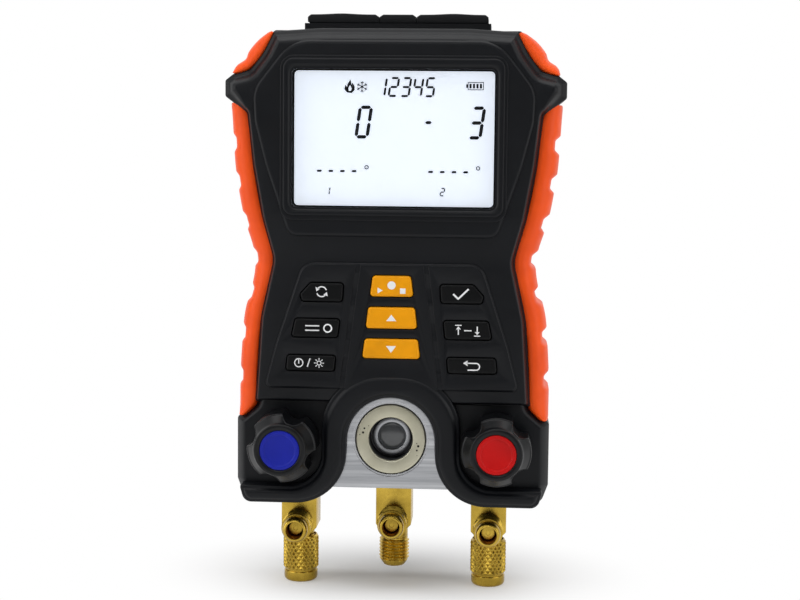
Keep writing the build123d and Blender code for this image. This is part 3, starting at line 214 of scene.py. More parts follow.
# %% Rings of points
class Rings:
    """Rings of points, joined to each other and closed, that become one piece."""

    def __init__(self):
        self.verts = []
        self.faces = []

    def add_ring(self, points):
        start = len(self.verts)
        self.verts += points
        return list(range(start, start + len(points)))

    def join(self, ring_a, ring_b):
        count = len(ring_a)
        for i in range(count):
            j = (i + 1) % count
            self.faces.append((ring_a[i], ring_a[j], ring_b[j], ring_b[i]))

    def fill(self, outer, holes=()):
        rings = [outer] + list(holes)
        flat = [i for ring in rings for i in ring]
        flattened = [[Vector((self.verts[i][0], self.verts[i][2], 0)) for i in ring] for ring in rings]
        for a, b, c in tessellate_polygon(flattened):
            self.faces.append((flat[a], flat[b], flat[c]))

    def cap(self, ring):
        self.faces.append(tuple(ring))

    def make(self, name, *args, **kwargs):
        build(name, self.verts, self.faces, *args, **kwargs)


print("two rings of 4 points can be joined by 4 faces")

# %% [markdown]
# ## Plates, flakes and sheets
# Three kinds of form cover the whole instrument. A plate is an outline pushed through layers, with holes. A
# prism is a thin flake such as printed ink. A grid is a run of rows, for anything turned, cut or swollen.

# %% Kinds of form
class Form(Rings):
    """A piece put together from plates, flakes and sheets."""

    def plate(self, corners, layers, holes=(), share=None):
        """A flat moulding: an outline through layers from rear to front, with holes through it.

        share says, for a point of the outline, how much of the drawing in it takes part in."""
        start = ring_of(corners)
        rings = []
        for draw, y in layers:
            shape = ring_of(corners, draw)
            if share:
                shape = [a + (b - a) * share(a) for a, b in zip(start, shape)]
            rings.append(self.add_ring([(p.x, y, p.y) for p in shape]))
        for ring_a, ring_b in zip(rings, rings[1:]):
            self.join(ring_a, ring_b)
        ends = [[rings[0]], [rings[-1]]]
        for hole, hole_layers in holes:
            walls = [self.add_ring([(p.x, y, p.y) for p in ring_of(hole, -draw)]) for draw, y in hole_layers]
            for ring_a, ring_b in zip(walls, walls[1:]):
                self.join(ring_a, ring_b)
            ends[0].append(walls[0])
            ends[1].append(walls[-1])
        self.fill(ends[0][0], ends[0][1:])
        self.fill(ends[1][0], ends[1][1:])

    def prism(self, outline, rear, front, holes=()):
        """A flat piece from plain points (x, z), such as printed ink."""
        walls = []
        for shape in [outline] + list(holes):
            back = self.add_ring([(x, rear, z) for x, z in shape])
            face = self.add_ring([(x, front, z) for x, z in shape])
            self.join(back, face)
            walls.append((back, face))
        self.fill(walls[0][0], [wall[0] for wall in walls[1:]])
        self.fill(walls[0][1], [wall[1] for wall in walls[1:]])

    def grid(self, rows, closed=False):
        """Rows of points joined into a sheet; each row closes on itself if asked."""
        rings = [self.add_ring(points) for points in rows]
        for ring_a, ring_b in zip(rings, rings[1:]):
            if closed:
                self.join(ring_a, ring_b)
            else:
                for i in range(len(ring_a) - 1):
                    self.faces.append((ring_a[i], ring_a[i + 1], ring_b[i + 1], ring_b[i]))
        return rings


print("forms ready:", [kind for kind in ("plate", "prism", "grid") if hasattr(Form, kind)])

# %% [markdown]
# ## Finishes
# Each finish is a small node tree. Colours vary a little over each surface, and roughness and a fine bump
# carry what the hand would feel: the spark-eroded grain of the black shells, the soft sheen of rubber, the
# tool marks on turned brass and the long brush lines of the block. Values that are the same everywhere are
# set on the shader's own sockets.

# %% A plain finish
def new_material(name, colour, roughness, metallic=0.0, specular=0.5):
    material = bpy.data.materials.new(name)
    material.use_nodes = True
    shader = material.node_tree.nodes["Principled BSDF"]
    shader.inputs["Base Color"].default_value = (*colour, 1)
    shader.inputs["Roughness"].default_value = roughness
    shader.inputs["Metallic"].default_value = metallic
    shader.inputs["Specular IOR Level"].default_value = specular
    material.diffuse_color = (*colour, 1)
    return material


def nodes_of(material):
    return material.node_tree.nodes, material.node_tree.links, material.node_tree.nodes["Principled BSDF"]


print("a finish starts as one shader with a colour, a roughness and a share of metal")

# %% [markdown]
# ### Unevenness
# No moulded or machined face is the same all over. A painted image could say so, but it would have to be
# wrapped onto every piece. Noise that lives in the piece's own space needs no wrapping. It feeds three
# sockets: the colour, the roughness and a fine bump.

# %% Noise, colour, roughness and bump
def noise(material, scale, detail=3.0, stretch=(1, 1, 1), roughness=0.55):
    nodes, links, shader = nodes_of(material)
    place = nodes.new("ShaderNodeTexCoord")
    mapping = nodes.new("ShaderNodeMapping")
    mapping.inputs["Scale"].default_value = stretch
    texture = nodes.new("ShaderNodeTexNoise")
    texture.inputs["Scale"].default_value = scale
    texture.inputs["Detail"].default_value = detail
    texture.inputs["Roughness"].default_value = roughness
    links.new(place.outputs["Object"], mapping.inputs["Vector"])
    links.new(mapping.outputs["Vector"], texture.inputs["Vector"])
    return texture.outputs["Fac"]


def vary_colour(material, source, low, high, start=0.3, end=0.7):
    nodes, links, shader = nodes_of(material)
    ramp = nodes.new("ShaderNodeValToRGB")
    for stop, position, colour in zip(ramp.color_ramp.elements, (start, end), (low, high)):
        stop.position = position
        stop.color = (*colour, 1)
    links.new(source, ramp.inputs["Fac"])
    links.new(ramp.outputs["Color"], shader.inputs["Base Color"])


def vary_roughness(material, source, low, high):
    nodes, links, shader = nodes_of(material)
    node = nodes.new("ShaderNodeMapRange")
    node.inputs["To Min"].default_value = low
    node.inputs["To Max"].default_value = high
    links.new(source, node.inputs["Value"])
    links.new(node.outputs["Result"], shader.inputs["Roughness"])


def bump(material, source, strength, distance=0.0001):
    nodes, links, shader = nodes_of(material)
    node = nodes.new("ShaderNodeBump")
    node.inputs["Strength"].default_value = strength
    node.inputs["Distance"].default_value = distance
    links.new(source, node.inputs["Height"])
    links.new(node.outputs["Normal"], shader.inputs["Normal"])


print("noise can drive colour, roughness and bump")

# %% [markdown]
# ### Plastic and rubber
# Everything moulded shares one recipe: a colour that drifts by a tenth, clouds of gloss as from handling,
# and the grain of the mould. Only colour, gloss and the size of the grain change from piece to piece.

# %% Moulded finishes
CLOUD_SCALE = 90
GLOSS_SCALE = 160
GRAIN_HEIGHT = 0.00006    # metres


def shade(colour, factor):
    return tuple(min(1.0, c * factor) for c in colour)


def moulded(name, colour, roughness=0.5, grain=5200, depth=0.16, specular=0.35):
    """Plastic from a textured mould: fine grain, faint clouds of gloss."""
    material = new_material(name, colour, roughness, specular=specular)
    vary_colour(material, noise(material, CLOUD_SCALE), shade(colour, 0.9), shade(colour, 1.12))
    vary_roughness(material, noise(material, GLOSS_SCALE), roughness - 0.06, roughness + 0.08)
    bump(material, noise(material, grain, detail=2.0), depth, GRAIN_HEIGHT)
    return material


SHELL_BLACK = moulded("shell_black", (0.0038, 0.0045, 0.0062), 0.40, specular=0.23)
KNOB_BLACK = moulded("knob_black", (0.0036, 0.0040, 0.0050), 0.31, grain=3600, specular=0.26)
KEY_BLACK = moulded("key_black", (0.0022, 0.0024, 0.0028), 0.4, specular=0.16)
COVER_BLACK = moulded("cover_rubber", (0.006, 0.0066, 0.0078), 0.5, specular=0.22)
ORANGE = moulded("grip_orange", (0.98, 0.088, 0.004), 0.42, grain=3000, depth=0.1, specular=0.24)
AMBER = moulded("key_amber", (0.86, 0.34, 0.0), 0.42, depth=0.06, specular=0.2)
BLUE = moulded("inlay_blue", (0.008, 0.016, 0.34), 0.42, depth=0.05, specular=0.2)
RED = moulded("inlay_red", (0.55, 0.002, 0.002), 0.42, depth=0.05, specular=0.2)
PRINT_WHITE = moulded("print_white", (0.86, 0.87, 0.88), 0.5, depth=0.02)
SEAM_BLACK = moulded("seam_black", (0.003, 0.003, 0.004), 0.7, depth=0.02, specular=0.1)
# The sight glass is drawn opaque: its grey is painted shade of the chamber behind it and painted reflection.
LENS_PAINTED_SHADE_AND_SHEEN = moulded("lens_painted_shade_and_sheen", (0.085, 0.09, 0.096), 0.16, grain=300, depth=0.10, specular=0.8)
SEAL_GREY = moulded("seal_rubber", (0.012, 0.012, 0.013), 0.6, depth=0.06, specular=0.2)
BOARD_GREEN = moulded("board_green", (0.010, 0.085, 0.030), 0.35, grain=1500, depth=0.05, specular=0.4)
PART_BLACK = moulded("component_black", (0.015, 0.015, 0.017), 0.5, depth=0.05)
CELL_BLUE = moulded("cell_jacket", (0.020, 0.055, 0.20), 0.25, depth=0.02, specular=0.5)
SOCKET_BLACK = moulded("socket_black", (0.010, 0.010, 0.011), 0.4, depth=0.05)
print("moulded finishes:", len(bpy.data.materials))

# %% [markdown]
# ### The display's finishes
# A backlit panel gives light instead of only sending it back, so it gets a little emission. Part of that
# glow
# is painted light: it stands in for the lamp light that the clear pane in front keeps off the panel. The
# window in front of it is clear plastic, and the ink of the figures is nearly black.

# %% Display finishes
def lit(name, colour, strength):
    """A face that carries its own light, such as a backlit display."""
    material = new_material(name, colour, 0.6, specular=0.1)
    shader = material.node_tree.nodes["Principled BSDF"]
    shader.inputs["Emission Color"].default_value = (*colour, 1)
    shader.inputs["Emission Strength"].default_value = strength
    return material


# The glow is partly the backlight and partly painted light for the lamp light that the clear pane keeps off.
LCD_PALE = lit("lcd_pale", (0.82, 0.88, 0.97), 0.68)
vary_roughness(LCD_PALE, noise(LCD_PALE, 400), 0.5, 0.62)
CLEAR = new_material("clear_window", (1, 1, 1), 0.03, specular=0.5)
clear_shader = CLEAR.node_tree.nodes["Principled BSDF"]
clear_shader.inputs["Transmission Weight"].default_value = 1.0
clear_shader.inputs["IOR"].default_value = 1.46
vary_roughness(CLEAR, noise(CLEAR, 60), 0.02, 0.05)
LCD_DARK = new_material("lcd_dark", (0.012, 0.013, 0.016), 0.5, specular=0.1)
vary_roughness(LCD_DARK, noise(LCD_DARK, 800), 0.45, 0.6)
print("display finishes:", [finish.name for finish in (LCD_PALE, CLEAR, LCD_DARK)])

# %% [markdown]
# ### Metals
# Turned metal has fine tool marks and an uneven tone where it was handled. Brushed metal differs in one
# thing: its lines run one way, so the noise is stretched along them, and the lines show in the tone too.

# %% Metals
TOOL_MARK_HEIGHT = 0.00005


def metal(name, colour, dark, roughness, scale, depth, clouds=60, stretch=(1, 1, 1)):
    """Bare metal with tool or brush lines, and an uneven tone where a dark one is given."""
    material = new_material(name, colour, roughness, metallic=1.0)
    if dark:
        vary_colour(material, noise(material, clouds, detail=5.0), dark, colour, 0.25, 0.75)
    lines = noise(material, scale, detail=4.0, stretch=stretch)
    vary_roughness(material, lines, roughness - 0.08, roughness + 0.14)
    bump(material, lines, depth, TOOL_MARK_HEIGHT)
    return material


BRASS = metal("turned_brass", (0.70, 0.475, 0.075), (0.27, 0.175, 0.022), 0.25, 700, 0.1, clouds=70)
# A darker, redder brass for the stubs' holes: painted shade of the bore.
BRASS_HOLE_PAINTED_SHADE = metal("brass_hole_painted_shade", (0.52, 0.22, 0.03), (0.30, 0.10, 0.01), 0.4, 700, 0.1)
SATIN = metal("satin_steel", (0.52, 0.53, 0.55), (0.38, 0.39, 0.41), 0.4, 1100, 0.08)
NICKEL = metal("satin_nickel", (0.60, 0.58, 0.46), (0.46, 0.44, 0.33), 0.42, 1500, 0.08, clouds=120)
STEEL = metal("bright_steel", (0.55, 0.56, 0.58), (0.4, 0.4, 0.42), 0.25, 900, 0.06)
# Painted shade: a dark lining for the sight glass ring's bore, which lies in shadow.
WELL_PAINTED_SHADE = metal("well_painted_shade", (0.10, 0.10, 0.105), (0.05, 0.05, 0.052), 0.4, 900, 0.06)
SPRING_STEEL = metal("spring_steel", (0.60, 0.59, 0.56), (0.46, 0.45, 0.42), 0.3, 900, 0.06)
SENSOR_STEEL = metal("sensor_steel", (0.50, 0.50, 0.51), (0.36, 0.36, 0.37), 0.33, 1200, 0.1)
BLOCK = metal("brushed_aluminium", (0.56, 0.57, 0.59), None, 0.36, 900, 0.5, stretch=(0.03, 1, 1))
brush_tone = noise(BLOCK, 700, detail=6.0, stretch=(0.02, 1, 1), roughness=0.7)
vary_colour(BLOCK, brush_tone, (0.33, 0.34, 0.36), (0.66, 0.67, 0.69))
print("finishes made:", len(bpy.data.materials))

# %% [markdown]
# ## The front shell's outlines
# The front shell is one dark moulding with a stepped face: a display panel, a key panel, a raised band that
# runs round the arch and the foot, and two wells for the knobs. It could be sculpted, but the real tool is
# cut from outlines, so it is built from plates whose edges roll over in small arcs. Most outlines are the
# same on both sides, so only the right half is written.

# %% Housing outline
TOP_Z = 202.8
PARTING = 16.0            # depth of the joint between the two shells
UPPER_BODY = both([
    (26.0, TOP_Z, 60.0), (43.0, 201.7, 1.3), (46.8, 194.2, 8.0), (51.4, 188.2, 3.0), (57.4, 186.6, 1.6),
    (60.2, 184.4, 1.2), (60.2, 178.8, 1.2), (52.4, 173.0, 2.0), (50.4, 155.0, 30.0), (47.0, 136.0, 14.0),
    (42.9, 121.5, 10.0), (47.4, 101.0, 25.0), (49.4, 70.0, 1.0), (21.0, 70.0, 1.0), (15.0, 76.6, 1.0),
])
WINDOW = box_corners(-35.6, 35.6, 140.2, 188.4, 2.0)
RIM = box_corners(-38.7, 38.7, 137.2, 192.1, 3.8)
RIM_STEP = both([(39.7, 193.1, 4.8), (39.7, 135.6, 4.8)])
DISPLAY_PANEL = both([(36.0, 198.2, 14.0), (49.4, 181.0, 11.0), (48.8, 170.0, 12.0), (45.0, 155.0, 20.0),
                      (36.6, 130.0, 4.5)])
print("housing outline:", len(ring_of(UPPER_BODY)), "points")

# %% [markdown]
# ### The foot and the arch
# Below, the housing parts into two lobes round the knobs, with an arch between them that leaves the block's
# face open. The lobes and the arch are arcs about the knobs and about the middle, so their places follow
# from the knobs' places.

# %% Foot and arch outlines
KNOB_X = 37.6
KNOB_Z = 56.15
LOBE_R = 21.8             # the foot's lobe round a knob
WELL_R = 13.0             # the band's upper corner beside a knob
FOOT_Z = KNOB_Z - LOBE_R
ARCH_R = KNOB_X - LOBE_R
ARCH_TOP = 57.3 + ARCH_R
BAND_W = 8.8
BAND_LOW_Z = FOOT_Z + 0.2
BAND_STEP_Z = 40.8        # the band's upper edge under the knobs
FOOT_HALF = [(49.0, 76.0, 0.3), (49.4, 69.5, 3.0), (56.2, 63.8, 1.5), (56.2, 41.5, 1.5), (53.6, FOOT_Z, 4.0),
             (ARCH_R, FOOT_Z, LOBE_R)]
BAND_HALF = [
    (ARCH_R + BAND_W, ARCH_TOP + BAND_W, ARCH_R + BAND_W), (ARCH_R + BAND_W, BAND_STEP_Z, WELL_R),
    (49.0, BAND_STEP_Z, 3.0), (53.8, BAND_STEP_Z, 0.8), (53.8, 39.6, 1.2), (52.4, BAND_LOW_Z, 4.0),
    (ARCH_R, BAND_LOW_Z, LOBE_R),
]
ARCH_CORNERS = [(ARCH_R, ARCH_TOP, ARCH_R), (-ARCH_R, ARCH_TOP, ARCH_R)]
FOOT = FOOT_HALF + ARCH_CORNERS + mirrored(FOOT_HALF)
BAND = BAND_HALF + ARCH_CORNERS + mirrored(BAND_HALF)
print("the arch is", round(2 * ARCH_R, 1), "mm wide and the band", BAND_W, "mm")

# %% [markdown]
# ## The keys' outlines
# The amber keys narrow upwards like a pile of bars, and the black ones slant with the housing's waist. Their
# corners are needed twice, for the holes in the panel and for the key caps, so they are written once here.

# %% Key outlines
AMBER_KEYS = {"record_key": (116.5, 109.2, 6.65, 7.6), "up_key": (105.4, 97.9, 8.15, 9.0),
              "down_key": (94.2, 87.3, 9.3, 10.2)}
BLACK_KEYS = {
    "top": [(17.0, 113.7), (28.6, 113.7), (32.3, 109.6), (31.6, 107.1), (17.4, 107.1)],
    "middle": [(18.2, 101.0), (34.0, 101.0), (35.4, 94.4), (19.0, 94.4)],
    "bottom": [(19.6, 88.0), (36.7, 88.0), (37.3, 82.4), (20.1, 82.4)],
}
KEY_RADIUS = 1.1
keys = {}
for key_name, (high, low, top_half, low_half) in AMBER_KEYS.items():
    keys[key_name] = [(-top_half, high), (top_half, high), (low_half, low), (-low_half, low)]
for key_row, key_shape in BLACK_KEYS.items():
    keys[f"right_{key_row}_key"] = key_shape
    keys[f"left_{key_row}_key"] = [(-x, z) for x, z in reversed(key_shape)]


def key_corners(name):
    return [(x, z, KEY_RADIUS) for x, z in keys[name]]


print("keys outlined:", len(keys))

# %% [markdown]
# ## The shell's body
# One plate carries the whole upper half. Its edge is a bevel with small rounds above and below, as a mould
# leaves it. Towards the grips the bevel is steeper, because rubber covers the flanks, so the drawing in
# takes part there by less than half. The panels are thin plates laid on the body, each with its own edge.

# %% Body and display panel
FLANK_SHARE = 0.42        # how much of the bevel is left along the flanks
FLANK_TOP_Z = 173.5
FLANK_RUN = 4.0
PANEL_Y = -1.0
BODY_EDGE = [(0, PARTING), (0, 6.2), (0.12, 5.6), (0.5, 5.2), (1.2, 4.9), (1.9, 4.3), (2.4, 3.2), (3.4, 1.0),
             (3.9, 0.45), (4.5, 0.08), (5.0, 0.0)]


def flank_share(point):
    """The bevel is full at the top and the collar and steeper along the flanks."""
    return FLANK_SHARE + (1 - FLANK_SHARE) * min(1.0, max(0.0, (point.y - FLANK_TOP_Z) / FLANK_RUN))


shell = Form()
body_holes = [(WINDOW, [(0, PARTING), (0, 0.0)])]
body_holes += [(key_corners(name), [(0.25, PARTING), (0.25, 0)]) for name in keys]
shell.plate(UPPER_BODY, BODY_EDGE, body_holes, share=flank_share)
shell.plate(DISPLAY_PANEL, [(-0.8, 0.6)] + soft_edge(1.0, PANEL_Y, slope=1.3),
            [(WINDOW, [(0, 0.6), (0, PANEL_Y)])])
print("body and display panel:", len(shell.faces), "faces")

# %% [markdown]
# ### The window's rim
# Two low steps lead up to the window, and the upper one falls back into it with a bevel. The steps stop
# fingers from sliding onto the clear pane.

# %% Window rim
STEP_Y = -1.4
RIM_Y = -2.0
shell.plate(RIM_STEP, [(-0.1, 0.0), (0, PANEL_Y)] + soft_edge(0.35, STEP_Y),
            [(WINDOW, [(0, 0.0), (0, STEP_Y)])])
shell.plate(RIM, [(-0.2, 0.0), (0, PANEL_Y)] + soft_edge(0.7, RIM_Y),
            [(WINDOW, [(0, 0.0), (0, -0.7), (0.8, -1.5), (1.5, RIM_Y)])])
print("rim stands", -RIM_Y, "mm proud")

# %% [markdown]
# ### The key panel
# Three fields lie on the key panel with narrow grooves between them: one for the amber keys and one at each
# side. Every key has its hole through panel and field, a little wider than the key and broken at its edge.

# %% Key panel
KEY_PANEL = both([(31.5, 121.0, 6.0), (41.0, 92.0, 20.0), (45.2, 76.0, 2.0)])
CENTRE_FIELD = both([(11.1, 120.3, 0.6), (16.7, 76.0, 0.6)])
RIGHT_FIELD = [(12.7, 120.3, 0.6), (31.1, 120.3, 5.6), (40.5, 92.0, 20.0), (44.6, 76.6, 2.0),
               (18.3, 76.6, 0.6)]
FIELD_Y = -1.3
FIELD_REAR = -0.7


def key_holes(names, front, rear):
    """Holes for some keys, opened a little at the front edge."""
    edge = [(0.25, rear), (0.25, front + 0.3), (0.32, front + 0.1), (0.5, front)]
    return [(key_corners(name), edge) for name in names]


shell.plate(KEY_PANEL, [(-0.6, 0.6)] + soft_edge(0.9, PANEL_Y), key_holes(keys, PANEL_Y, 0.6))
field_edge = [(0, FIELD_REAR)] + soft_edge(0.28, FIELD_Y, steps=3)
for field, names in ((CENTRE_FIELD, AMBER_KEYS),
                     (mirrored(RIGHT_FIELD), [name for name in keys if name.startswith("left")]),
                     (RIGHT_FIELD, [name for name in keys if name.startswith("right")])):
    shell.plate(field, field_edge, key_holes(names, FIELD_Y, FIELD_REAR))
shell.make("front_shell_face", SHELL_BLACK, "root", node="front_shell", slot="shell_plastic", sharp=38)
print("shell face:", len(shell.faces), "faces")

# %% [markdown]
# ## The foot and the band
# The foot lies deeper than the body, so that the knobs find room in front of it. A raised band runs round
# the arch and along the lower edge and guards the block's face. Its wall breaks once on the way up.

# %% Foot and band
FOOT_EDGE = [(0, PARTING), (0, 9.0), (0.2, 8.0), (2.4, 5.2), (2.9, 4.7), (3.4, 4.5), (3.8, 4.5)]
BAND_EDGE = [(0.0, 9.0), (0.0, 0.2), (0.06, -0.35), (0.25, -0.7), (0.6, -0.85), (1.0, -0.9), (1.2, -1.0),
             (1.4, -1.35), (1.7, -1.7), (2.15, -1.93), (2.7, -2.0)]
lower = Form()
lower.plate(FOOT, FOOT_EDGE)
lower.plate(BAND, BAND_EDGE)
lower.make("front_shell_foot", SHELL_BLACK, "root", slot="shell_plastic", sharp=38)
print("foot and band:", len(lower.faces), "faces")

# %% [markdown]
# ## The orange grips
# Soft orange rubber is moulded onto both flanks and over both upper corners. Its front rolls round to the
# side, and finger notches are scooped out of the outer edge. Cutting the notches with other shapes would
# leave hard edges, so every cross section is computed from its height, and the notches are part of the sum.

# %% Edges and notches
HOUSING_EDGE = [(177.0, 55.4), (173.0, 52.6), (169.0, 51.7), (155.0, 50.4), (143.0, 48.5), (133.7, 46.2),
                (127.0, 43.9), (121.5, 43.1), (116.0, 43.6), (108.0, 45.8), (95.0, 48.1), (80.0, 49.1),
                (71.0, 49.4), (68.0, 50.8), (63.0, 56.2)]
GRIP_EDGE = [(178.0, 59.3), (172.0, 58.9), (155.0, 57.9), (145.0, 56.5), (135.0, 54.5), (126.0, 51.6),
             (120.0, 50.6), (113.0, 51.4), (102.0, 54.3), (90.0, 55.4), (78.0, 56.0), (64.0, 56.0)]
NOTCH_HALF = 3.6          # half of a notch's length
NOTCH_SLOPE = 0.62        # share of it that slopes
NOTCHES = [162.6, 149.0, 134.8, 121.8, 108.9, 94.4, 78.8]
NOTCH_DEPTH = {1: 1.8, -1: 1.25}     # on the right flank and on the left


def at_height(table, z):
    """Smooth value from a table of heights going down."""
    for i, ((z0, v0), (z1, v1)) in enumerate(zip(table, table[1:])):
        if z0 >= z >= z1:
            before = table[max(i - 1, 0)]
            after = table[min(i + 2, len(table) - 1)]
            t = (z0 - z) / (z0 - z1)
            slope0 = (v1 - before[1]) / max(before[0] - z1, 0.1) * (z0 - z1)
            slope1 = (after[1] - v0) / max(z0 - after[0], 0.1) * (z0 - z1)
            return ((2 * t ** 3 - 3 * t ** 2 + 1) * v0 + (t ** 3 - 2 * t ** 2 + t) * slope0
                    + (3 * t ** 2 - 2 * t ** 3) * v1 + (t ** 3 - t ** 2) * slope1)
    return table[-1][1] if z < table[-1][0] else table[0][1]


def notch_at(z, side):
    """How deep the outer edge is scooped at one height."""
    depth = 0.0
    for middle in NOTCHES:
        u = abs(z - middle) / NOTCH_HALF
        if u < 1:
            flank = min(1.0, (1 - u) / NOTCH_SLOPE)
            depth = max(depth, NOTCH_DEPTH[side] * flank * flank * (3 - 2 * flank))
    return depth


print("notches:", len(NOTCHES), "on each side grip")

# %% [markdown]
# ### Grip sections
# A section starts at the seam on the front, rolls over to the flank in a stretched quarter of a circle and
# rolls back to the seam at the rear. A notch takes away most at the outer edge and nothing at the seam, so
# that the seam stays a clean line. At its ends a grip swells up from the shell within a few rows.

# %% Side grips
FRONT_ROLL = 10.0         # depth over which the front rolls into the flank
REAR_ROLL = 7.0
SEAM_REACH = 1.2          # how far a section reaches under the shell's edge


def grip_section(inner, outer, scoop, front=5.3, rear=36.0):
    """Points (x, y) round one cross section, from the inner front edge to the inner rear edge."""
    points = [(inner - SEAM_REACH, front + 1.6), (inner - 0.3, front + 0.3)]
    for i in range(11):
        angle = math.pi / 2 * i / 10
        points.append((inner + (outer - inner) * math.sin(angle) ** 0.85 - scoop * math.sin(angle) ** 3,
                       front + FRONT_ROLL * (1 - math.cos(angle)) ** 1.15))
    for i in range(8):
        angle = math.pi / 2 * (1 - i / 7)
        points.append((inner + (outer - inner) * math.sin(angle) - scoop * math.sin(angle) ** 2,
                       rear - REAR_ROLL * (1 - math.cos(angle))))
    return points + [(inner - SEAM_REACH, rear - 1.0)]


def swell_up(end):
    """From 0 at a grip's end to 1 once it has its full height, like a quarter of a circle."""
    return math.sqrt(max(0.0, 1 - (1 - min(1.0, end)) ** 2))


def make_grip(rows, side, part, node):
    """Joins the sections, closes the rear and both ends, and makes the piece."""
    name = "right" if side > 0 else "left"
    form = Form()
    rings = form.grid(rows, closed=True)
    form.cap(rings[0])
    form.cap(rings[-1])
    form.make(f"{name}_{part}", ORANGE, "root", node=f"{name}_{node}", slot="orange_grip", sharp=60)


def side_grip(side):
    rows = []
    heights = [176.6 - i * 0.55 for i in range(204)]
    for i, z in enumerate(heights):
        inner, outer = at_height(HOUSING_EDGE, z), at_height(GRIP_EDGE, z)
        lift = swell_up(min((i + 0.4) / 3, (len(heights) - 0.6 - i) / 3))
        outer = inner + max(0.2, (outer - inner) * (0.88 + 0.12 * lift))
        section = grip_section(inner, outer, notch_at(z, side))
        rows.append([(side * x, y, z) for x, y in section])
    make_grip(rows, side, "grip", "side_grip")


for side in (1, -1):
    side_grip(side)
print("side grips made")

# %% [markdown]
# ### The corner grips
# The small grips follow the slanting shoulders, so their sections stand across a path and not at one
# height. Two paths are written, the seam and the outer edge, and each section is stretched between them.

# %% Corner grips
CORNER_INNER = [(43.3, 201.2), (45.6, 196.6), (48.6, 192.0), (51.2, 189.3), (53.8, 187.9), (57.2, 186.9)]
CORNER_OUTER = [(44.6, 202.4), (49.4, 199.0), (52.8, 195.0), (53.8, 192.4), (56.8, 190.2), (58.3, 187.5)]


def along_path(path, t):
    """The point at a share of a path's length, on a smooth curve through its points."""
    lengths = [0.0]
    for a, b in zip(path, path[1:]):
        lengths.append(lengths[-1] + math.dist(a, b))
    tables = [[(-length, point[axis]) for length, point in zip(lengths, path)] for axis in (0, 1)]
    return [at_height(table, -t * lengths[-1]) for table in tables]


def corner_grip(side, count=48):
    rows = []
    for i in range(count + 1):
        inner = Vector(along_path(CORNER_INNER, i / count))
        outer = Vector(along_path(CORNER_OUTER, i / count))
        lift = swell_up(min((i + 0.6) / 5, (count + 0.6 - i) / 5))
        outer = inner + (outer - inner) * (0.35 + 0.65 * lift)
        root = inner - (outer - inner).normalized()
        section = []
        for x, y in grip_section(0.0, 1.0, 0.0, front=5.0, rear=35.5):
            here = inner + (outer - inner) * x if x >= 0 else inner + (inner - root) * (x / SEAM_REACH)
            section.append((side * here.x, y, here.y))
        rows.append(section)
    make_grip(rows, side, "corner_grip", "upper_grip")


for side in (1, -1):
    corner_grip(side)
print("corner grips made")

# %% [markdown]
# ## The display
# Behind the clear window lies a pale liquid crystal panel that is lit from behind. The window is a real
# pane with a front and a rear, so that light bends in it as it does in plastic. A thin dark mask hides the
# panel's edge.

# %% Display panel and window
LCD_FACE = 2.7
LCD_REAR = 5.0
panel = Form()
panel.plate(box_corners(-36.6, 36.6, 138.8, 189.4, 0.6),
            [(0, LCD_REAR), (0, LCD_FACE + 0.05), (0.05, LCD_FACE)])
panel.make("display_panel", LCD_PALE, "root", node="lcd_panel", slot="lcd")
mask = Form()
mask_outer, mask_inner = [[(p.x, p.y) for p in ring_of(WINDOW, draw)] for draw in (-0.3, 0.55)]
mask.prism(mask_outer, LCD_FACE - 0.02, LCD_FACE - 0.06, [mask_inner])
mask.make("display_mask", SEAM_BLACK, "root", slot="lcd")
pane = Form()
pane.plate(box_corners(-37.2, 37.2, 138.6, 190.0, 2.0), [(0, 2.2), (0, 1.35), (0.12, 1.22)])
pane.make("display_window", CLEAR, "root", node="display_window", slot="window")
window_low, window_high = gauge("display_window")
print("display window:", round(window_high.x - window_low.x, 1), "mm wide")

# %% [markdown]
# ## The figures
# The figures are dark segments in the glass. They could be painted by a shader, but cut shapes keep a crisp
# edge from every distance, so each segment is a thin flake of ink just in front of the panel. One figure is
# made of up to seven bars, and all figures lean by a few degrees.

# %% Segments
#    -a-
#   f   b      the seven segments of one figure
#    -g-
#   e   c
#    -d-
LIT = {"0": "abcdef", "1": "bc", "2": "abged", "3": "abgcd", "4": "fgbc", "5": "afgcd", "-": "g"}
LEAN = math.tan(math.radians(8))
INK_FACE = LCD_FACE - 0.10
INK_THICK = 0.04
SEGMENT_GAP = 0.12        # how far a bar keeps off its corner, as a share of its width


def ink(form, outline, holes=()):
    form.prism(outline, INK_FACE + INK_THICK, INK_FACE, holes)


def segment(ax, az, bx, bz, width):
    """A six-sided bar between two points, pointed at both ends."""
    start, end = Vector((ax, az)), Vector((bx, bz))
    along = (end - start).normalized()
    aside = Vector((-along.y, along.x)) * (width / 2)
    tip = along * (width / 2)
    start, end = start + along * (width * SEGMENT_GAP), end - along * (width * SEGMENT_GAP)
    return [start, start + tip + aside, end - tip + aside, end, end - tip - aside, start + tip - aside]


def figure(form, sign, left, low, wide, high, width):
    right, top, middle = left + wide, low + high, low + high / 2
    bars = {"a": (left, top, right, top), "b": (right, top, right, middle), "c": (right, middle, right, low),
            "d": (left, low, right, low), "e": (left, middle, left, low), "f": (left, top, left, middle),
            "g": (left, middle, right, middle)}
    for bar in LIT[sign]:
        ink(form, [(p.x + (p.y - low) * LEAN, p.y) for p in segment(*bars[bar], width)])


print("one figure can light", len("abcdefg"), "segments")

# %% [markdown]
# ### Figures on the panel
# Two large readings with a dash between them, a small count above, and two rows of dashes below where no
# probe is plugged in.

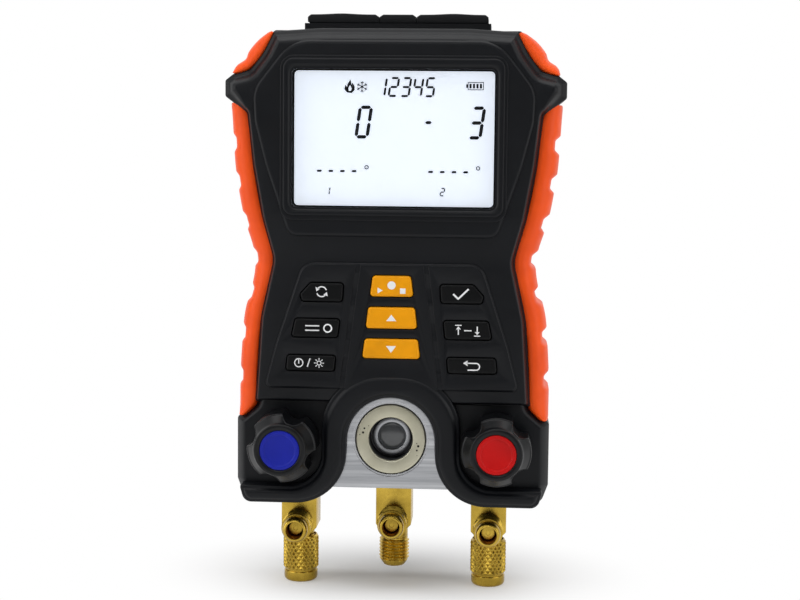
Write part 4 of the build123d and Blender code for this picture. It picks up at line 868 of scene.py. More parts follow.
# %% Figures
figures = Form()
figure(figures, "0", -13.3, 164.9, 3.9, 10.3, 1.2)
figure(figures, "-", 10.7, 169.6, 2.6, 0.9, 1.1)
figure(figures, "3", 26.2, 164.9, 3.9, 10.3, 1.2)
for place, sign in enumerate("12345"):
    figure(figures, sign, -6.2 + place * 4.25, 179.2, 2.7, 6.2, 0.78)
for left in (-27.3, 11.9):
    for place in range(4):
        figure(figures, "-", left + place * 4.1, 152.5, 2.1, 0.8, 0.78)
figures.make("display_figures", LCD_DARK, "root", slot="lcd", sharp=20)
print("figures:", len(figures.faces), "faces")

# %% [markdown]
# ## The display's small signs
# Degree rings, a flame for heating, a snow flake for cooling and a battery: these are lines of one width,
# rings and filled outlines. The three helpers for them are used again for the print on the keys.

# %% Lines and rings
def arc_points(x, z, radius, start, end, count):
    """Points on an arc, in degrees from the right and turning to the left."""
    angles = [math.radians(start + (end - start) * i / (count - 1)) for i in range(count)]
    return [(x + radius * math.cos(a), z + radius * math.sin(a)) for a in angles]


def round_points(x, z, radius, count):
    return arc_points(x, z, radius, 0, 360, count + 1)[:-1]


def ring_shape(x, z, radius, width, count):
    """The outer edge of a ring and, as its hole, the inner one."""
    return round_points(x, z, radius + width / 2, count), [round_points(x, z, radius - width / 2, count)]


def line_shape(points, width):
    """A band of one width along a run of points."""
    path = [Vector(p) for p in points]
    left, right = [], []
    for i, here in enumerate(path):
        before = (here - path[i - 1]).normalized() if i else (path[1] - here).normalized()
        after = (path[i + 1] - here).normalized() if i < len(path) - 1 else before
        normal = Vector((-(before + after).y, (before + after).x)).normalized()
        reach = width / 2 / max(0.4, normal.dot(Vector((-before.y, before.x))))
        left.append(tuple(here + normal * reach))
        right.append(tuple(here - normal * reach))
    return left + right[::-1]


print("a line through 2 points is an outline of", len(line_shape([(0, 0), (1, 0)], 0.2)))

# %% [markdown]
# ### Degrees, flame and flake
# The flame is an outline with a hole. The flake is one spoke with two prongs, repeated six times.

# %% Degrees, flame and flake
signs = Form()
for x in (-9.5, 29.6):
    ink(signs, *ring_shape(x, 154.3, 0.6, 0.34, 16))
flame = [(-16.6, 180.3), (-15.0, 180.1), (-13.9, 181.1), (-13.9, 182.4), (-14.7, 183.8), (-14.9, 182.9),
         (-15.4, 184.9), (-16.4, 183.2), (-16.6, 182.2), (-17.2, 183.0), (-17.5, 181.4)]
flame_heart = [(-15.9, 180.8), (-15.2, 180.9), (-14.9, 181.6), (-15.5, 182.9), (-16.1, 181.8)]
ink(signs, flame, [flame_heart])
FLAKE_X, FLAKE_Z = -11.3, 182.3
FORK_AT = 1.2             # where a spoke forks
for spoke in range(6):
    angle = math.radians(30 + spoke * 60)
    spoke_end = (FLAKE_X + 2.0 * math.cos(angle), FLAKE_Z + 2.0 * math.sin(angle))
    ink(signs, line_shape([(FLAKE_X, FLAKE_Z), spoke_end], 0.3))
    fork_x, fork_z = FLAKE_X + FORK_AT * math.cos(angle), FLAKE_Z + FORK_AT * math.sin(angle)
    for turn in (-0.9, 0.9):
        prong = (fork_x + 0.7 * math.cos(angle + turn), fork_z + 0.7 * math.sin(angle + turn))
        ink(signs, line_shape([(fork_x, fork_z), prong], 0.24))
print("degree rings, flame and flake:", len(signs.faces), "faces")

# %% [markdown]
# ### Battery and channel figures
# The battery is a frame with four cells in it. Under the dashes, a small figure names each probe.

# %% Battery and channel figures
def ink_box(form, x0, x1, z0, z1, holes=()):
    ink(form, [(x0, z0), (x1, z0), (x1, z1), (x0, z1)], holes)


battery_inside = [(25.85, 181.65), (30.95, 181.65), (30.95, 183.95), (25.85, 183.95)]
ink_box(signs, 25.6, 31.2, 181.4, 184.2, [battery_inside])
ink_box(signs, 25.05, 25.6, 182.2, 183.4)
for cell in range(4):
    left = 26.2 + cell * 1.2
    ink_box(signs, left, left + 0.75, 182.0, 183.6)
for x, sign in ((-24.0, "1"), (16.4, "2")):
    figure(signs, sign, x, 144.6, 1.3, 2.6, 0.42)
signs.make("display_signs", LCD_DARK, "root", slot="lcd", sharp=20)
print("signs:", len(signs.faces), "faces")

# %% [markdown]
# ## The keys
# Nine rubber-backed keys stand a little proud of the key panel. Three are amber, six are black. Each is an
# outline whose edge rolls over to a flat face, so that it catches a thin line of light along one side.

# %% Key caps
KEY_FACE = -2.0


def key_piece(name, finish, slot):
    layers = [(-0.6, 1.2), (-0.5, 0.9), (0, 0.8), (0, KEY_FACE + 0.65), (0.08, KEY_FACE + 0.38),
              (0.28, KEY_FACE + 0.14), (0.55, KEY_FACE + 0.03), (0.95, KEY_FACE)]
    form = Form()
    form.plate(key_corners(name), layers)
    form.make(f"{name}_cap", finish, name, node=name, slot=slot, sharp=40)


for name in keys:
    amber = name in AMBER_KEYS
    key_piece(name, AMBER if amber else KEY_BLACK, "amber_key" if amber else "black_key")
print("keys made:", len(keys))

# %% [markdown]
# ## The signs on the keys
# The signs are printed on, so they are thin white shapes that lie on the faces and move with the keys. Each
# is made of lines, rings and filled shapes, like the figures of the display. They stay free of words.

# %% Signs on the amber keys
PRINT_FACE = KEY_FACE - 0.03
PRINT_THICK = 0.05


def print_on(key_name, form):
    key_slot = "amber_key" if key_name in AMBER_KEYS else "black_key"
    form.make(f"{key_name}_sign", PRINT_WHITE, key_name, slot=key_slot, sharp=20)


def shape_on(form, points, holes=()):
    form.prism(points, PRINT_FACE + PRINT_THICK, PRINT_FACE, holes)


def line_on(form, points, width):
    shape_on(form, line_shape(points, width))


def ring_on(form, x, z, radius, width):
    shape_on(form, *ring_shape(x, z, radius, width, 28))


record = Form()
shape_on(record, [(-4.9, 110.3), (-3.1, 111.35), (-4.9, 112.4)])
shape_on(record, round_points(0, 113.2, 1.45, 24))
shape_on(record, [(3.0, 110.3), (4.9, 110.3), (4.9, 112.2), (3.0, 112.2)])
print_on("record_key", record)
for key_name, low, high in (("up_key", 100.6, 102.9), ("down_key", 91.8, 89.4)):
    arrow = Form()
    shape_on(arrow, [(-1.75, low), (1.75, low), (0, high)])
    print_on(key_name, arrow)
print("signs on", len(AMBER_KEYS), "amber keys")

# %% [markdown]
# ### Signs on the black keys
# On the left, from the top: a change-over ring, a line set to nothing, and the switch with its light.

# %% Signs on the left black keys
TURN_X, TURN_Z, TURN_R = -24.6, 110.6, 1.75
turning = Form()
for start in (20, 200):
    line_on(turning, arc_points(TURN_X, TURN_Z, TURN_R, start, start + 125, 20), 0.42)
    tip = math.radians(start + 140)
    along = Vector((-math.sin(tip), math.cos(tip)))
    out = Vector((math.cos(tip), math.sin(tip)))
    centre = Vector((TURN_X, TURN_Z)) + out * TURN_R
    shape_on(turning, [tuple(centre + along * 0.55), tuple(centre - along * 0.75 + out * 0.8),
                       tuple(centre - along * 0.75 - out * 0.8)])
print_on("left_top_key", turning)

zeroing = Form()
line_on(zeroing, [(-30.4, 98.5), (-25.4, 98.5)], 0.45)
line_on(zeroing, [(-30.4, 96.9), (-25.4, 96.9)], 0.45)
ring_on(zeroing, -22.4, 97.7, 1.35, 0.5)
print_on("left_middle_key", zeroing)

LAMP_X, LAMP_Z = -25.4, 85.3
power = Form()
ring_on(power, -32.6, LAMP_Z, 1.45, 0.36)
line_on(power, [(-32.6, 85.0), (-32.6, 86.5)], 0.38)
line_on(power, [(-29.6, 83.9), (-28.6, 86.9)], 0.4)
ring_on(power, LAMP_X, LAMP_Z, 0.72, 0.3)
for ray in range(8):
    angle = math.radians(ray * 45)
    line_on(power, [(LAMP_X + r * math.cos(angle), LAMP_Z + r * math.sin(angle)) for r in (1.15, 1.75)], 0.3)
print_on("left_bottom_key", power)
print("signs on", len(BLACK_KEYS), "keys on the left")

# %% [markdown]
# On the right, from the top: a tick, the highest and lowest value, and the way back.

# %% Signs on the right black keys
tick = Form()
line_on(tick, [(21.6, 110.5), (23.4, 108.8), (27.0, 112.3)], 0.62)
print_on("right_top_key", tick)

limits = Form()
for x, base, top in ((23.6, 96.2, 99.2), (30.2, 99.2, 96.2)):
    lift = 1 if top > base else -1
    line_on(limits, [(x, base), (x, top - 0.9 * lift)], 0.42)
    shape_on(limits, [(x - 0.85, top - 1.1 * lift), (x + 0.85, top - 1.1 * lift), (x, top)])
    line_on(limits, [(x - 1.1, top + 0.35 * lift), (x + 1.1, top + 0.35 * lift)], 0.34)
line_on(limits, [(25.6, 97.7), (28.2, 97.7)], 0.42)
print_on("right_middle_key", limits)

back = Form()
line_on(back, [(26.6, 86.2)] + arc_points(30.0, 85.0, 1.2, 90, -90, 12) + [(27.0, 83.8)], 0.44)
shape_on(back, [(25.4, 86.2), (27.0, 87.2), (27.0, 85.2)])
print_on("right_bottom_key", back)
print("signs on", len(BLACK_KEYS), "keys on the right")

# %% [markdown]
# ## The hand valves' knobs
# Each knob is a black cup with four lobes. Its face is a flat disc that holds a coloured inlay, and from the
# disc's edge the lobes fall back to their tips. Deep flutes between them give the fingers a hold. The
# flutes could be cut with cylinders, but then their edges would stay sharp. So the radius is written as a
# function of the angle, and where a flute meets a lobe the two are blended.

# %% Lobes
DISC_R = 9.2
TIP_R = 12.25
LOBE_WAIST = 0.05         # a lobe's rim is lower by this much beside its middle
FLUTE_R = 4.2
FLUTE_AT = 13.7           # distance of a flute's centre from the knob's
FLUTE_SOFT = 1.3
NO_FLUTE = 99.0           # stands for no flute at this angle


def soft_min(a, b, blend):
    """The lower of two values, blended where they are close."""
    h = max(blend - abs(a - b), 0.0) / blend
    return min(a, b) - h * h * blend / 4


def lobe_radius(angle, turn):
    """The knob's outer radius at an angle, with its flutes turned by some degrees."""
    off = math.radians((math.degrees(angle) - turn) % 90 - 45)
    reach = FLUTE_R ** 2 - (FLUTE_AT * math.sin(off)) ** 2
    flute = FLUTE_AT * math.cos(off) - math.sqrt(reach) if reach > 0 else NO_FLUTE
    return soft_min(TIP_R - LOBE_WAIST * math.sin(4 * off) ** 2, flute, FLUTE_SOFT)


print("knobs: tips at radius", TIP_R, "flutes down to", round(FLUTE_AT - FLUTE_R, 2))

# %% [markdown]
# ### Knob bodies
# Rings of such radii are joined from the inlay's seat over the disc's edge, down the lobes' slopes, round
# their rims and into the hollow rear. A ring on a slope takes its depth from how far out each point lies.

# %% Knob bodies
KNOB_FACE = -15.0
KNOB_COUNT = 240
SLOPE_START = 0.95        # depth behind the face at which the lobes' slopes begin
SLOPE_DROP = 0.6
LOBE_FALL = 1.25          # and the fall for each millimetre that a lobe reaches out
RIM_ROUND = 0.45          # the lobes' rims: how far they round inwards and how deep
RIM_DEPTH = 0.7
SEAT = [(7.05, -13.3), (7.05, KNOB_FACE + 0.25), (7.3, KNOB_FACE), (DISC_R - 0.75, KNOB_FACE),
        (DISC_R - 0.35, KNOB_FACE + 0.10), (DISC_R - 0.08, KNOB_FACE + 0.36), (DISC_R, KNOB_FACE + 0.75)]
SKIRT = [(0.0, 0.6), (0.5, 2.0), (1.6, 2.9)]
HOLLOW = [(8.7, 2.9), (8.7, -4.0), (3.05, -4.0), (3.05, -13.3)]


def knob_body(name, side, turn):
    angles = [2 * math.pi * i / KNOB_COUNT for i in range(KNOB_COUNT)]
    outer = [lobe_radius(a, turn) for a in angles]

    def ring(radii, depths):
        return [(side * KNOB_X + r * math.cos(a), y, KNOB_Z + r * math.sin(a))
                for a, r, y in zip(angles, radii, depths)]

    def even(radius, depth):
        return ring([radius] * KNOB_COUNT, [depth] * KNOB_COUNT)

    rows = [even(r, y) for r, y in SEAT]
    inner = [r - RIM_ROUND for r in outer]
    for i in range(1, 9):
        part = i / 8
        radii = [DISC_R + ((r - DISC_R) * part if r > DISC_R else 0.02 * part) for r in inner]
        start = KNOB_FACE + SLOPE_START + SLOPE_DROP * part
        rows.append(ring(radii, [start + max(0.0, r - DISC_R) * LOBE_FALL for r in radii]))
    for i in range(1, 6):
        angle = math.pi / 2 * i / 5
        start = KNOB_FACE + SLOPE_START + SLOPE_DROP + RIM_DEPTH * (1 - math.cos(angle))
        rows.append(ring([max(r, DISC_R) + RIM_ROUND * math.sin(angle) for r in inner],
                         [start + max(0.0, r - DISC_R) * LOBE_FALL for r in inner]))
    for draw, y in SKIRT:
        rows.append(ring([max(r, DISC_R + 0.3) - draw for r in outer], [y] * KNOB_COUNT))
    rows += [even(r, y) for r, y in HOLLOW]
    form = Form()
    rings = form.grid(rows, closed=True)
    form.join(rings[-1], rings[0])
    form.make(f"{name}_knob", KNOB_BLACK, f"{name}_knob", node=f"{name}_valve_knob", slot="knob_plastic",
              sharp=50)


print("a knob is", 2 * TIP_R, "mm across its lobes and has", KNOB_COUNT, "points on a ring")

# %% [markdown]
# ### Inlays, and both knobs
# The coloured discs are pressed in and tell the low side from the high one: blue is low, red is high. They
# are turned shapes with a raised rim. A turned shape is a profile of radius and depth spun about an axis.

# %% Inlays and knobs
INLAY_PROFILE = [(0.0, -14.52), (5.0, -14.52), (5.25, -14.56), (5.45, -14.74), (5.62, -14.88), (5.9, -14.93),
                 (6.5, -14.93), (6.8, -14.87), (6.95, -14.7), (7.0, -14.4), (7.0, -13.4)]


def turned_about_y(form, profile, x, z, count, close_rear=True):
    """A turned piece from (radius, depth) points; a first radius of 0 closes its face."""
    angles = [2 * math.pi * i / count for i in range(count)]
    start = 1 if profile[0][0] == 0 else 0
    rows = [[(x + r * math.cos(a), y, z + r * math.sin(a)) for a in angles] for r, y in profile[start:]]
    rings = form.grid(rows, closed=True)
    if start:
        form.cap(rings[0])
    if close_rear:
        form.cap(rings[-1])


for name, side, turn, inlay_finish, inlay_slot in (("low", -1, 25.0, BLUE, "low_blue"),
                                                   ("high", 1, 0.0, RED, "high_red")):
    knob_body(name, side, turn)
    inlay = Form()
    turned_about_y(inlay, INLAY_PROFILE, side * KNOB_X, KNOB_Z, 96)
    inlay.make(f"{name}_inlay", inlay_finish, f"{name}_knob", node=f"{name}_knob_inlay", slot=inlay_slot,
               sharp=50)
print("knobs made, each with its inlay")

# %% [markdown]
# ## The manifold block's face
# The block is sawn from aluminium bar and its face is brushed sideways. Its outline follows the arch above
# and flares out along both lobes below. A plate with rounded corners could not follow the lobes, so this
# outline is put together from arcs, and so is the hole for the sight glass.

# %% Block face
GLASS_Z = 58.1
BLOCK_FACE = 0.92
BLOCK_REAR = 7.9
BLOCK_LOW_Z = 40.45
BLOCK_GAP = 0.2           # between the block's face and the shell round it
GLASS_HOLE_R = 13.55


def block_ring(draw):
    """The face's outline, drawn in by one distance."""
    lobe = LOBE_R + BLOCK_GAP + draw
    low_angle = math.degrees(math.asin((KNOB_Z - BLOCK_LOW_Z - draw) / lobe))
    right = arc_points(KNOB_X, KNOB_Z, lobe, 180, 180 + low_angle, 16)
    arch = arc_points(0, ARCH_TOP - ARCH_R, ARCH_R - BLOCK_GAP - draw, 180, 0, 48)
    left = [(-x, z) for x, z in reversed(right)]
    return left + arch + right


face = Form()
outer_rings = [face.add_ring([(x, y, z) for x, z in block_ring(draw)])
               for draw, y in ((0.0, BLOCK_REAR), (0.0, BLOCK_FACE + 0.14), (0.12, BLOCK_FACE))]
hole = round_points(0, GLASS_Z, GLASS_HOLE_R, 120)
hole_rings = [face.add_ring([(x, y, z) for x, z in hole])
              for y in (BLOCK_REAR, BLOCK_FACE + 0.4, BLOCK_FACE)]
for rings in (outer_rings, hole_rings):
    for ring_a, ring_b in zip(rings, rings[1:]):
        face.join(ring_a, ring_b)
face.fill(outer_rings[0], [hole_rings[0]])
face.fill(outer_rings[-1], [hole_rings[-1]])
face.make("block_face", BLOCK, "root", slot="block_aluminium", sharp=25)
print("block face from z", BLOCK_LOW_Z, "to", round(ARCH_TOP - BLOCK_GAP, 1))

# %% [markdown]
# ## The sight glass and its ring
# A ring with a soft nickel tone is screwed into a counterbore. Deep inside it, a bright collar clamps the
# thick glass through which the refrigerant is watched. All of it is turned on a lathe, so here too every
# piece is a profile of radius and depth that is spun about the same axis.

# %% Counterbore and ring
RING_R = 12.4


def turned_at_glass(name, finish, slot, profile, count, close_rear=False, node=None, sharp=50):
    form = Form()
    turned_about_y(form, profile, 0, GLASS_Z, count, close_rear)
    form.make(name, finish, "root", node=node, slot=slot, sharp=sharp)


turned_at_glass("counterbore_wall", STEEL, "block_aluminium",
                [(13.6, BLOCK_FACE + 0.02), (13.5, BLOCK_FACE + 0.02), (12.75, BLOCK_FACE + 0.24),
                 (12.7, 3.4), (12.45, 3.5), (12.0, 3.55)], 120)
turned_at_glass("sight_glass_ring", NICKEL, "ring_nickel",
                [(7.75, 9.0), (7.75, 1.15), (7.9, 0.85), (8.15, 0.7), (8.5, 0.62), (11.7, 0.6), (12.1, 0.68),
                 (12.35, 0.9), (RING_R, 1.3), (RING_R, 3.5)], 144, node="sight_glass_ring", sharp=45)
print("ring turned,", 2 * RING_R, "mm across")

# %% [markdown]
# ### Marks on the ring
# Two pairs of dots mark where the spanner bites, and a few tiny specks are the wear it leaves. They are
# flakes that stand about a hundredth of a millimetre proud.

# %% Ring marks
MARK_RING = 10.1          # radius at which the spanner's dots lie
SPANNER_DOTS = [(158, 0.34), (167, 0.42), (338, 0.34), (347, 0.42)]
SPECKS = [(149, 9.2, 0.16), (172, 11.1, 0.2), (329, 11.0, 0.16), (352, 9.4, 0.18), (162, 11.4, 0.12)]


def ring_mark(form, turn, reach, size, count):
    angle = math.radians(turn)
    dot = round_points(reach * math.cos(angle), GLASS_Z + reach * math.sin(angle), size, count)
    form.prism(dot, 0.64, 0.585)


marks = Form()
for turn, size in SPANNER_DOTS:
    ring_mark(marks, turn, MARK_RING, size, 14)
for turn, reach, size in SPECKS:
    ring_mark(marks, turn, reach, size, 8)
marks.make("spanner_marks", SEAM_BLACK, "root", slot="ring_nickel")
print("marks:", len(SPANNER_DOTS) + len(SPECKS))

# %% [markdown]
# ### The well, the collar and the lens
# The well is dark, a sheet of painted shade laid over the ring's bore, so that the collar and the glass
# stand out
# in it. The lens is domed: its profile is a quarter of an ellipse, which gives it the one soft highlight
# that makes glass look like glass. It is opaque, and its grey is painted: it stands in for the shaded
# chamber seen through clear glass and for the reflections on it.

# %% Well, collar and lens
LENS_R = 5.0
LENS_FRONT = 7.4
LENS_DOME = 0.9
# The well is a dark sheet of painted shade over the ring's own bore.
turned_at_glass("sight_glass_well", WELL_PAINTED_SHADE, "ring_nickel",
                [(7.72, 2.2), (7.72, 9.2), (6.4, 9.4), (0.5, 9.4)], 96, close_rear=True, sharp=32)
turned_at_glass("sight_glass_collar", SATIN, "ring_nickel",
                [(4.95, 8.9), (4.95, 7.6), (5.05, 7.35), (5.3, 7.25), (6.6, 7.25), (6.85, 7.45), (6.95, 7.9),
                 (6.95, 9.3)], 96)
# The lens's grey is painted shade of the chamber behind the glass and painted reflection.
lens_arc = [math.pi / 2 * i / 10 for i in range(1, 11)]
lens_profile = [(LENS_R * math.sin(a), LENS_FRONT + LENS_DOME * (1 - math.cos(a))) for a in lens_arc]
turned_at_glass("sight_glass_lens", LENS_PAINTED_SHADE_AND_SHEEN, "sight_glass",
                [(0.0, LENS_FRONT)] + lens_profile + [(LENS_R, 8.9)], 96, close_rear=True,
                node="sight_glass", sharp=60)
print("lens", 2 * LENS_R, "mm across, set", LENS_FRONT, "mm deep")

# %% [markdown]
# ## Threads
# Three brass fittings hang under the block. Each has a square body, a threaded stub to the front for parking
# a hose, and a flare thread below. A stack of rings would look like a thread from afar, but a true helix
# catches the light in slanting lines, so on every ring the radius depends on the height and on the angle.

# %% Threads
PITCH = 1.27              # 20 turns per inch
CREST_R = 5.556           # half of 7/16 inch
THREAD_DEEP = 0.70
THREAD_FLAT = 0.12        # share of the way from root to crest that is flat at each of them
THREAD_RUN_OUT = 0.7      # turns over which the thread fades at its ends
ROUND_COUNT = 72          # points on a turned ring


def wave(u):
    """0 at a root and 1 at a crest, with a narrow flat on each."""
    u = abs((u % 1.0) * 2 - 1)
    return min(1.0, max(0.0, (u - THREAD_FLAT) / (1 - 2 * THREAD_FLAT)))


def thread_rows(length, start, steps=12):
    """Rows of (angle, radius, height) for a helical thread that fades out at both ends."""
    rows = []
    total = int(length / PITCH * steps)
    for k in range(total + 1):
        h = length * k / total
        fade = min(1.0, h / (PITCH * THREAD_RUN_OUT), (length - h) / (PITCH * THREAD_RUN_OUT))
        ring = []
        for i in range(ROUND_COUNT):
            turn = i / ROUND_COUNT
            radius = CREST_R - THREAD_DEEP * (1 - fade * wave(h / PITCH + turn))
            ring.append((2 * math.pi * turn, radius, start + h))
        rows.append(ring)
    return rows


print("one thread turn is", PITCH, "mm")

# %% [markdown]
# ### Turned rows
# The rest of a fitting is turned, so it is written as plain rings of one radius at one height. The same
# rows can be laid along the depth axis for a stub or along the height for a port.

# %% Turned rows
def plain_row(radius, height, count=ROUND_COUNT):
    return [(2 * math.pi * i / count, radius, height) for i in range(count)]


def plain_rows(*profile, count=ROUND_COUNT):
    """A ring for every (radius, height) of a turned profile."""
    return [plain_row(radius, height, count) for radius, height in profile]


def along_y(rows, x, y0, z0):
    """Rows laid along the depth axis, growing towards the front."""
    return [[(x + r * math.cos(a), y0 - h, z0 + r * math.sin(a)) for a, r, h in ring] for ring in rows]


def along_z(rows, x, y0):
    """Rows stacked upwards."""
    return [[(x + r * math.cos(a), y0 + r * math.sin(a), h) for a, r, h in ring] for ring in rows]


print("a turned ring has", len(plain_row(1.0, 0.0)), "points")

# %% [markdown]
# ## The port fittings
# The square bodies are sawn from bar and bevelled, so they are plates like the shells, with cut corners.
# The stub, the collar under the block and the flare thread are rows of rings that grow out of the body.
# Inside the stub is the spring-loaded core that a hose pushes open.

# %% Stub and tail profiles
PORT_X = 35.0
PORT_Y = 25.2
STUB_Y = 18.5             # front face of a fitting's body, where the stub begins
BODY_HALF = 6.5
BODY_CUT = 2.0            # size of the cut corners below
BODY_LAYERS = [(0.45, 31.9), (0.15, 31.75), (0, 31.4), (0, 19.0), (0.15, 18.65), (0.45, STUB_Y)]
TAIL_START = 8.3


def stub_rows():
    """From inside the body out to the nose: thread, groove, flange, cone and the start of the hole."""
    rear = plain_rows((4.75, -0.6), (4.75, 0.7))
    nose = plain_rows((4.15, 7.0), (4.1, 7.75), (5.1, 7.85), (5.3, 8.05), (5.3, 8.75), (5.1, 8.95),
                      (4.62, 9.0), (4.6, 11.3), (4.45, 11.9), (4.1, 12.6), (3.75, 12.95), (3.5, 13.0),
                      (3.2, 12.92), (3.1, 12.7), (3.1, 9.6))
    return rear + thread_rows(6.2, 0.7) + nose


def tail_rows(body_low):
    """From the bore in the flare's end up to the body."""
    flare = plain_rows((2.4, 8.2), (2.4, 6.85), (2.6, 6.7), (3.7, 6.7), (3.9, 6.9), (4.84, 8.2))
    return flare + thread_rows(9.0, TAIL_START) + plain_rows((5.0, 17.5), (5.0, body_low + 0.3))


HOLE_ROWS = plain_rows((3.05, 12.6), (3.05, 5.2), (2.6, 4.6), (0.3, 4.0))
CORE_ROWS = plain_rows((2.45, 4.9), (2.45, 8.5), (2.3, 8.75), (0.85, 8.85), (0.75, 8.6), (0.3, 8.6))
STUB_INSIDES = (("stub_hole", HOLE_ROWS, BRASS_HOLE_PAINTED_SHADE, 60), ("stub_core", CORE_ROWS, BRASS, 45))
print("stub:", len(stub_rows()), "rings, tail:", len(tail_rows(19.0)), "rings")

# %% [markdown]
# ### Three fittings
# The outer two sit a little lower than the middle one, as their stubs do. Each is one mesh, with the hole in
# its stub, given a darker brass as painted shade, and the core inside as pieces of their own, because their
# finish or their edges differ.

# %% Fittings
def port_piece(name, x, low, top, stub_z):
    form = Form()
    body = [(x - BODY_HALF, top, 0.3), (x + BODY_HALF, top, 0.3), (x + BODY_HALF, low + BODY_CUT, 0.8),
            (x + BODY_HALF - BODY_CUT, low, 0.8), (x - BODY_HALF + BODY_CUT, low, 0.8),
            (x - BODY_HALF, low + BODY_CUT, 0.8)]
    form.plate(body, BODY_LAYERS)
    rings = form.grid(along_y(stub_rows(), x, STUB_Y, stub_z), closed=True)
    form.cap(rings[0])
    rings = form.grid(along_z(tail_rows(low), x, PORT_Y), closed=True)
    form.cap(rings[-1])
    form.cap(rings[0])
    form.grid(along_z(plain_rows((5.8, top - 0.2), (5.8, top + 3.0)), x, PORT_Y), closed=True)
    form.make(f"{name}_fitting", BRASS, "root", node=f"{name}_port", slot="port_brass", sharp=38)
    for part, rows, finish, sharp in STUB_INSIDES:
        inside = Form()
        rings = inside.grid(along_y(rows, x, STUB_Y, stub_z), closed=True)
        inside.cap(rings[-1])
        inside.make(f"{name}_{part}", finish, "root", slot="port_brass", sharp=sharp)


port_piece("low", -PORT_X, 19.0, 33.75, 22.9)
port_piece("centre", 0.0, 21.0, 37.6, 24.9)
port_piece("high", PORT_X, 19.0, 33.75, 22.9)
print("fittings made: 3")

# %% [markdown]
# ## The knurled caps
# Caps keep dirt out of the two outer ports. Their knurl is rolled: two families of slanting ridges cross
# and leave small pyramids. The radius at a point is the lower of the two ridges there, which gives the
# pyramids at once, while cutting grooves one by one would take hundreds of cuts.

# %% Knurl
KNURL_LOW = 4.9
KNURL_TOP = 16.7
KNURL_TEETH = 26
KNURL_R = 6.6
KNURL_DEEP = 0.42
KNURL_LEAN = 0.62         # how far the ridges go round on their way up; 1 would be 45 degrees
KNURL_RUN_OUT = 0.35
CAP_COUNT = 260


def ridge(u):
    """0 in a groove and 1 on a ridge."""
    return abs((u % 1.0) * 2 - 1)


def knurl_rows(steps=90):
    rows = []
    climb = KNURL_TEETH / (2 * math.pi * KNURL_R) * KNURL_LEAN
    for k in range(steps + 1):
        h = KNURL_LOW + (KNURL_TOP - KNURL_LOW) * k / steps
        fade = min(1.0, (h - KNURL_LOW) / KNURL_RUN_OUT, (KNURL_TOP - h) / KNURL_RUN_OUT)
        ring = []
        for i in range(CAP_COUNT):
            u = KNURL_TEETH * i / CAP_COUNT
            height = min(1.0, 1.25 * min(ridge(u + h * climb), ridge(u - h * climb)))
            ring.append((2 * math.pi * i / CAP_COUNT, KNURL_R - KNURL_DEEP * (1 - fade * height), h))
        rows.append(ring)
    return rows


print("knurl with", KNURL_TEETH, "ridges each way")

# %% [markdown]
# ### Two caps
# A cap is a plain turned foot with a groove, the knurl, and a thin lip above. It turns with its own body.

# %% Caps
CAP_LOW = plain_rows((4.6, 0.0), (5.3, 0.12), (5.8, 0.45), (6.1, 0.95), (6.2, 1.5), (6.2, 3.6),
                     (6.05, 3.85), (5.7, 3.95), (5.7, 4.35), (6.0, 4.5), count=CAP_COUNT)
CAP_TOP = plain_rows((6.15, 16.95), (5.95, 17.25), (5.65, 17.3), (5.6, 16.9), (5.6, 4.8), count=CAP_COUNT)
for name, side in (("low", -1), ("high", 1)):
    form = Form()
    rings = form.grid(along_z(CAP_LOW + knurl_rows() + CAP_TOP, side * PORT_X, PORT_Y), closed=True)
    form.cap(rings[0])
    form.cap(rings[-1])
    form.make(f"{name}_cap", BRASS, f"{name}_cap", node=f"{name}_port_cap", slot="port_brass", sharp=30)
print("caps made, each", KNURL_R * 2, "mm over the knurl")

# %% [markdown]
# ## The probe covers
# A rubber strip lies along the top. Its middle is fixed, and the two ends fold up about thin webs over the
# sockets for the temperature probes. Each flap swells a little where the finger lifts it. The swell is
# part of the section's height, so the strip is a row of sections joined from one end to the other. The
# strip's size and place come from the solids' own boxes, so that the flaps meet the hinges.

# %% Sections of the strip
COVER_LOW, COVER_HIGH = gauge("right_probe_cover")
COVER_ROUND = 0.45        # radius of the strip's long edges
COVER_NARROW = 0.35       # how much narrower and flatter the strip is away from the swell
COVER_FLAT = 0.32
SWELL_X = 20.0
SWELL_WIDE = 5.5
END_RUN = 1.25            # length of a notch or of a rounded end


def swell_at(x):
    """1 in the middle of a flap's swell, falling off to 0."""
    return math.exp(-((abs(x) - SWELL_X) / SWELL_WIDE) ** 2)


def cover_section(x, low_z, high_z, draw):
    """A cross section of the strip with soft edges: points (x, y, z) round it."""
    front, rear = COVER_LOW.y + draw, COVER_HIGH.y - draw
    r = COVER_ROUND
    points = []
    for y, z, start in ((front + r, high_z - r, 180), (rear - r, high_z - r, 90), (rear - r, low_z + r, 0),
                        (front + r, low_z + r, -90)):
        for i in range(5):
            angle = math.radians(start - i * 22.5)
            points.append((x, y + r * math.cos(angle), z + r * math.sin(angle)))
    return points


print("strip section:", len(cover_section(0, 0, 3, 0)), "points")

# %% [markdown]
# ### Ends and hinge notches
# Where a flap meets the fixed middle, the strip is notched to a thin web, which bends like a hinge. The
# outer ends are only rounded, above and below. Both are a fall in height over the last millimetre.

# %% Strip
def strip_stations(start, end, count=40):
    """Places for sections along the strip, close together at both ends."""
    edges = [0.0, 0.25, 0.5, 0.75, 1.0, 1.35]
    inner = [start + edges[-1] + (end - start - 2 * edges[-1]) * i / count for i in range(1, count)]
    return [start + e for e in edges] + inner + [end - e for e in reversed(edges)]


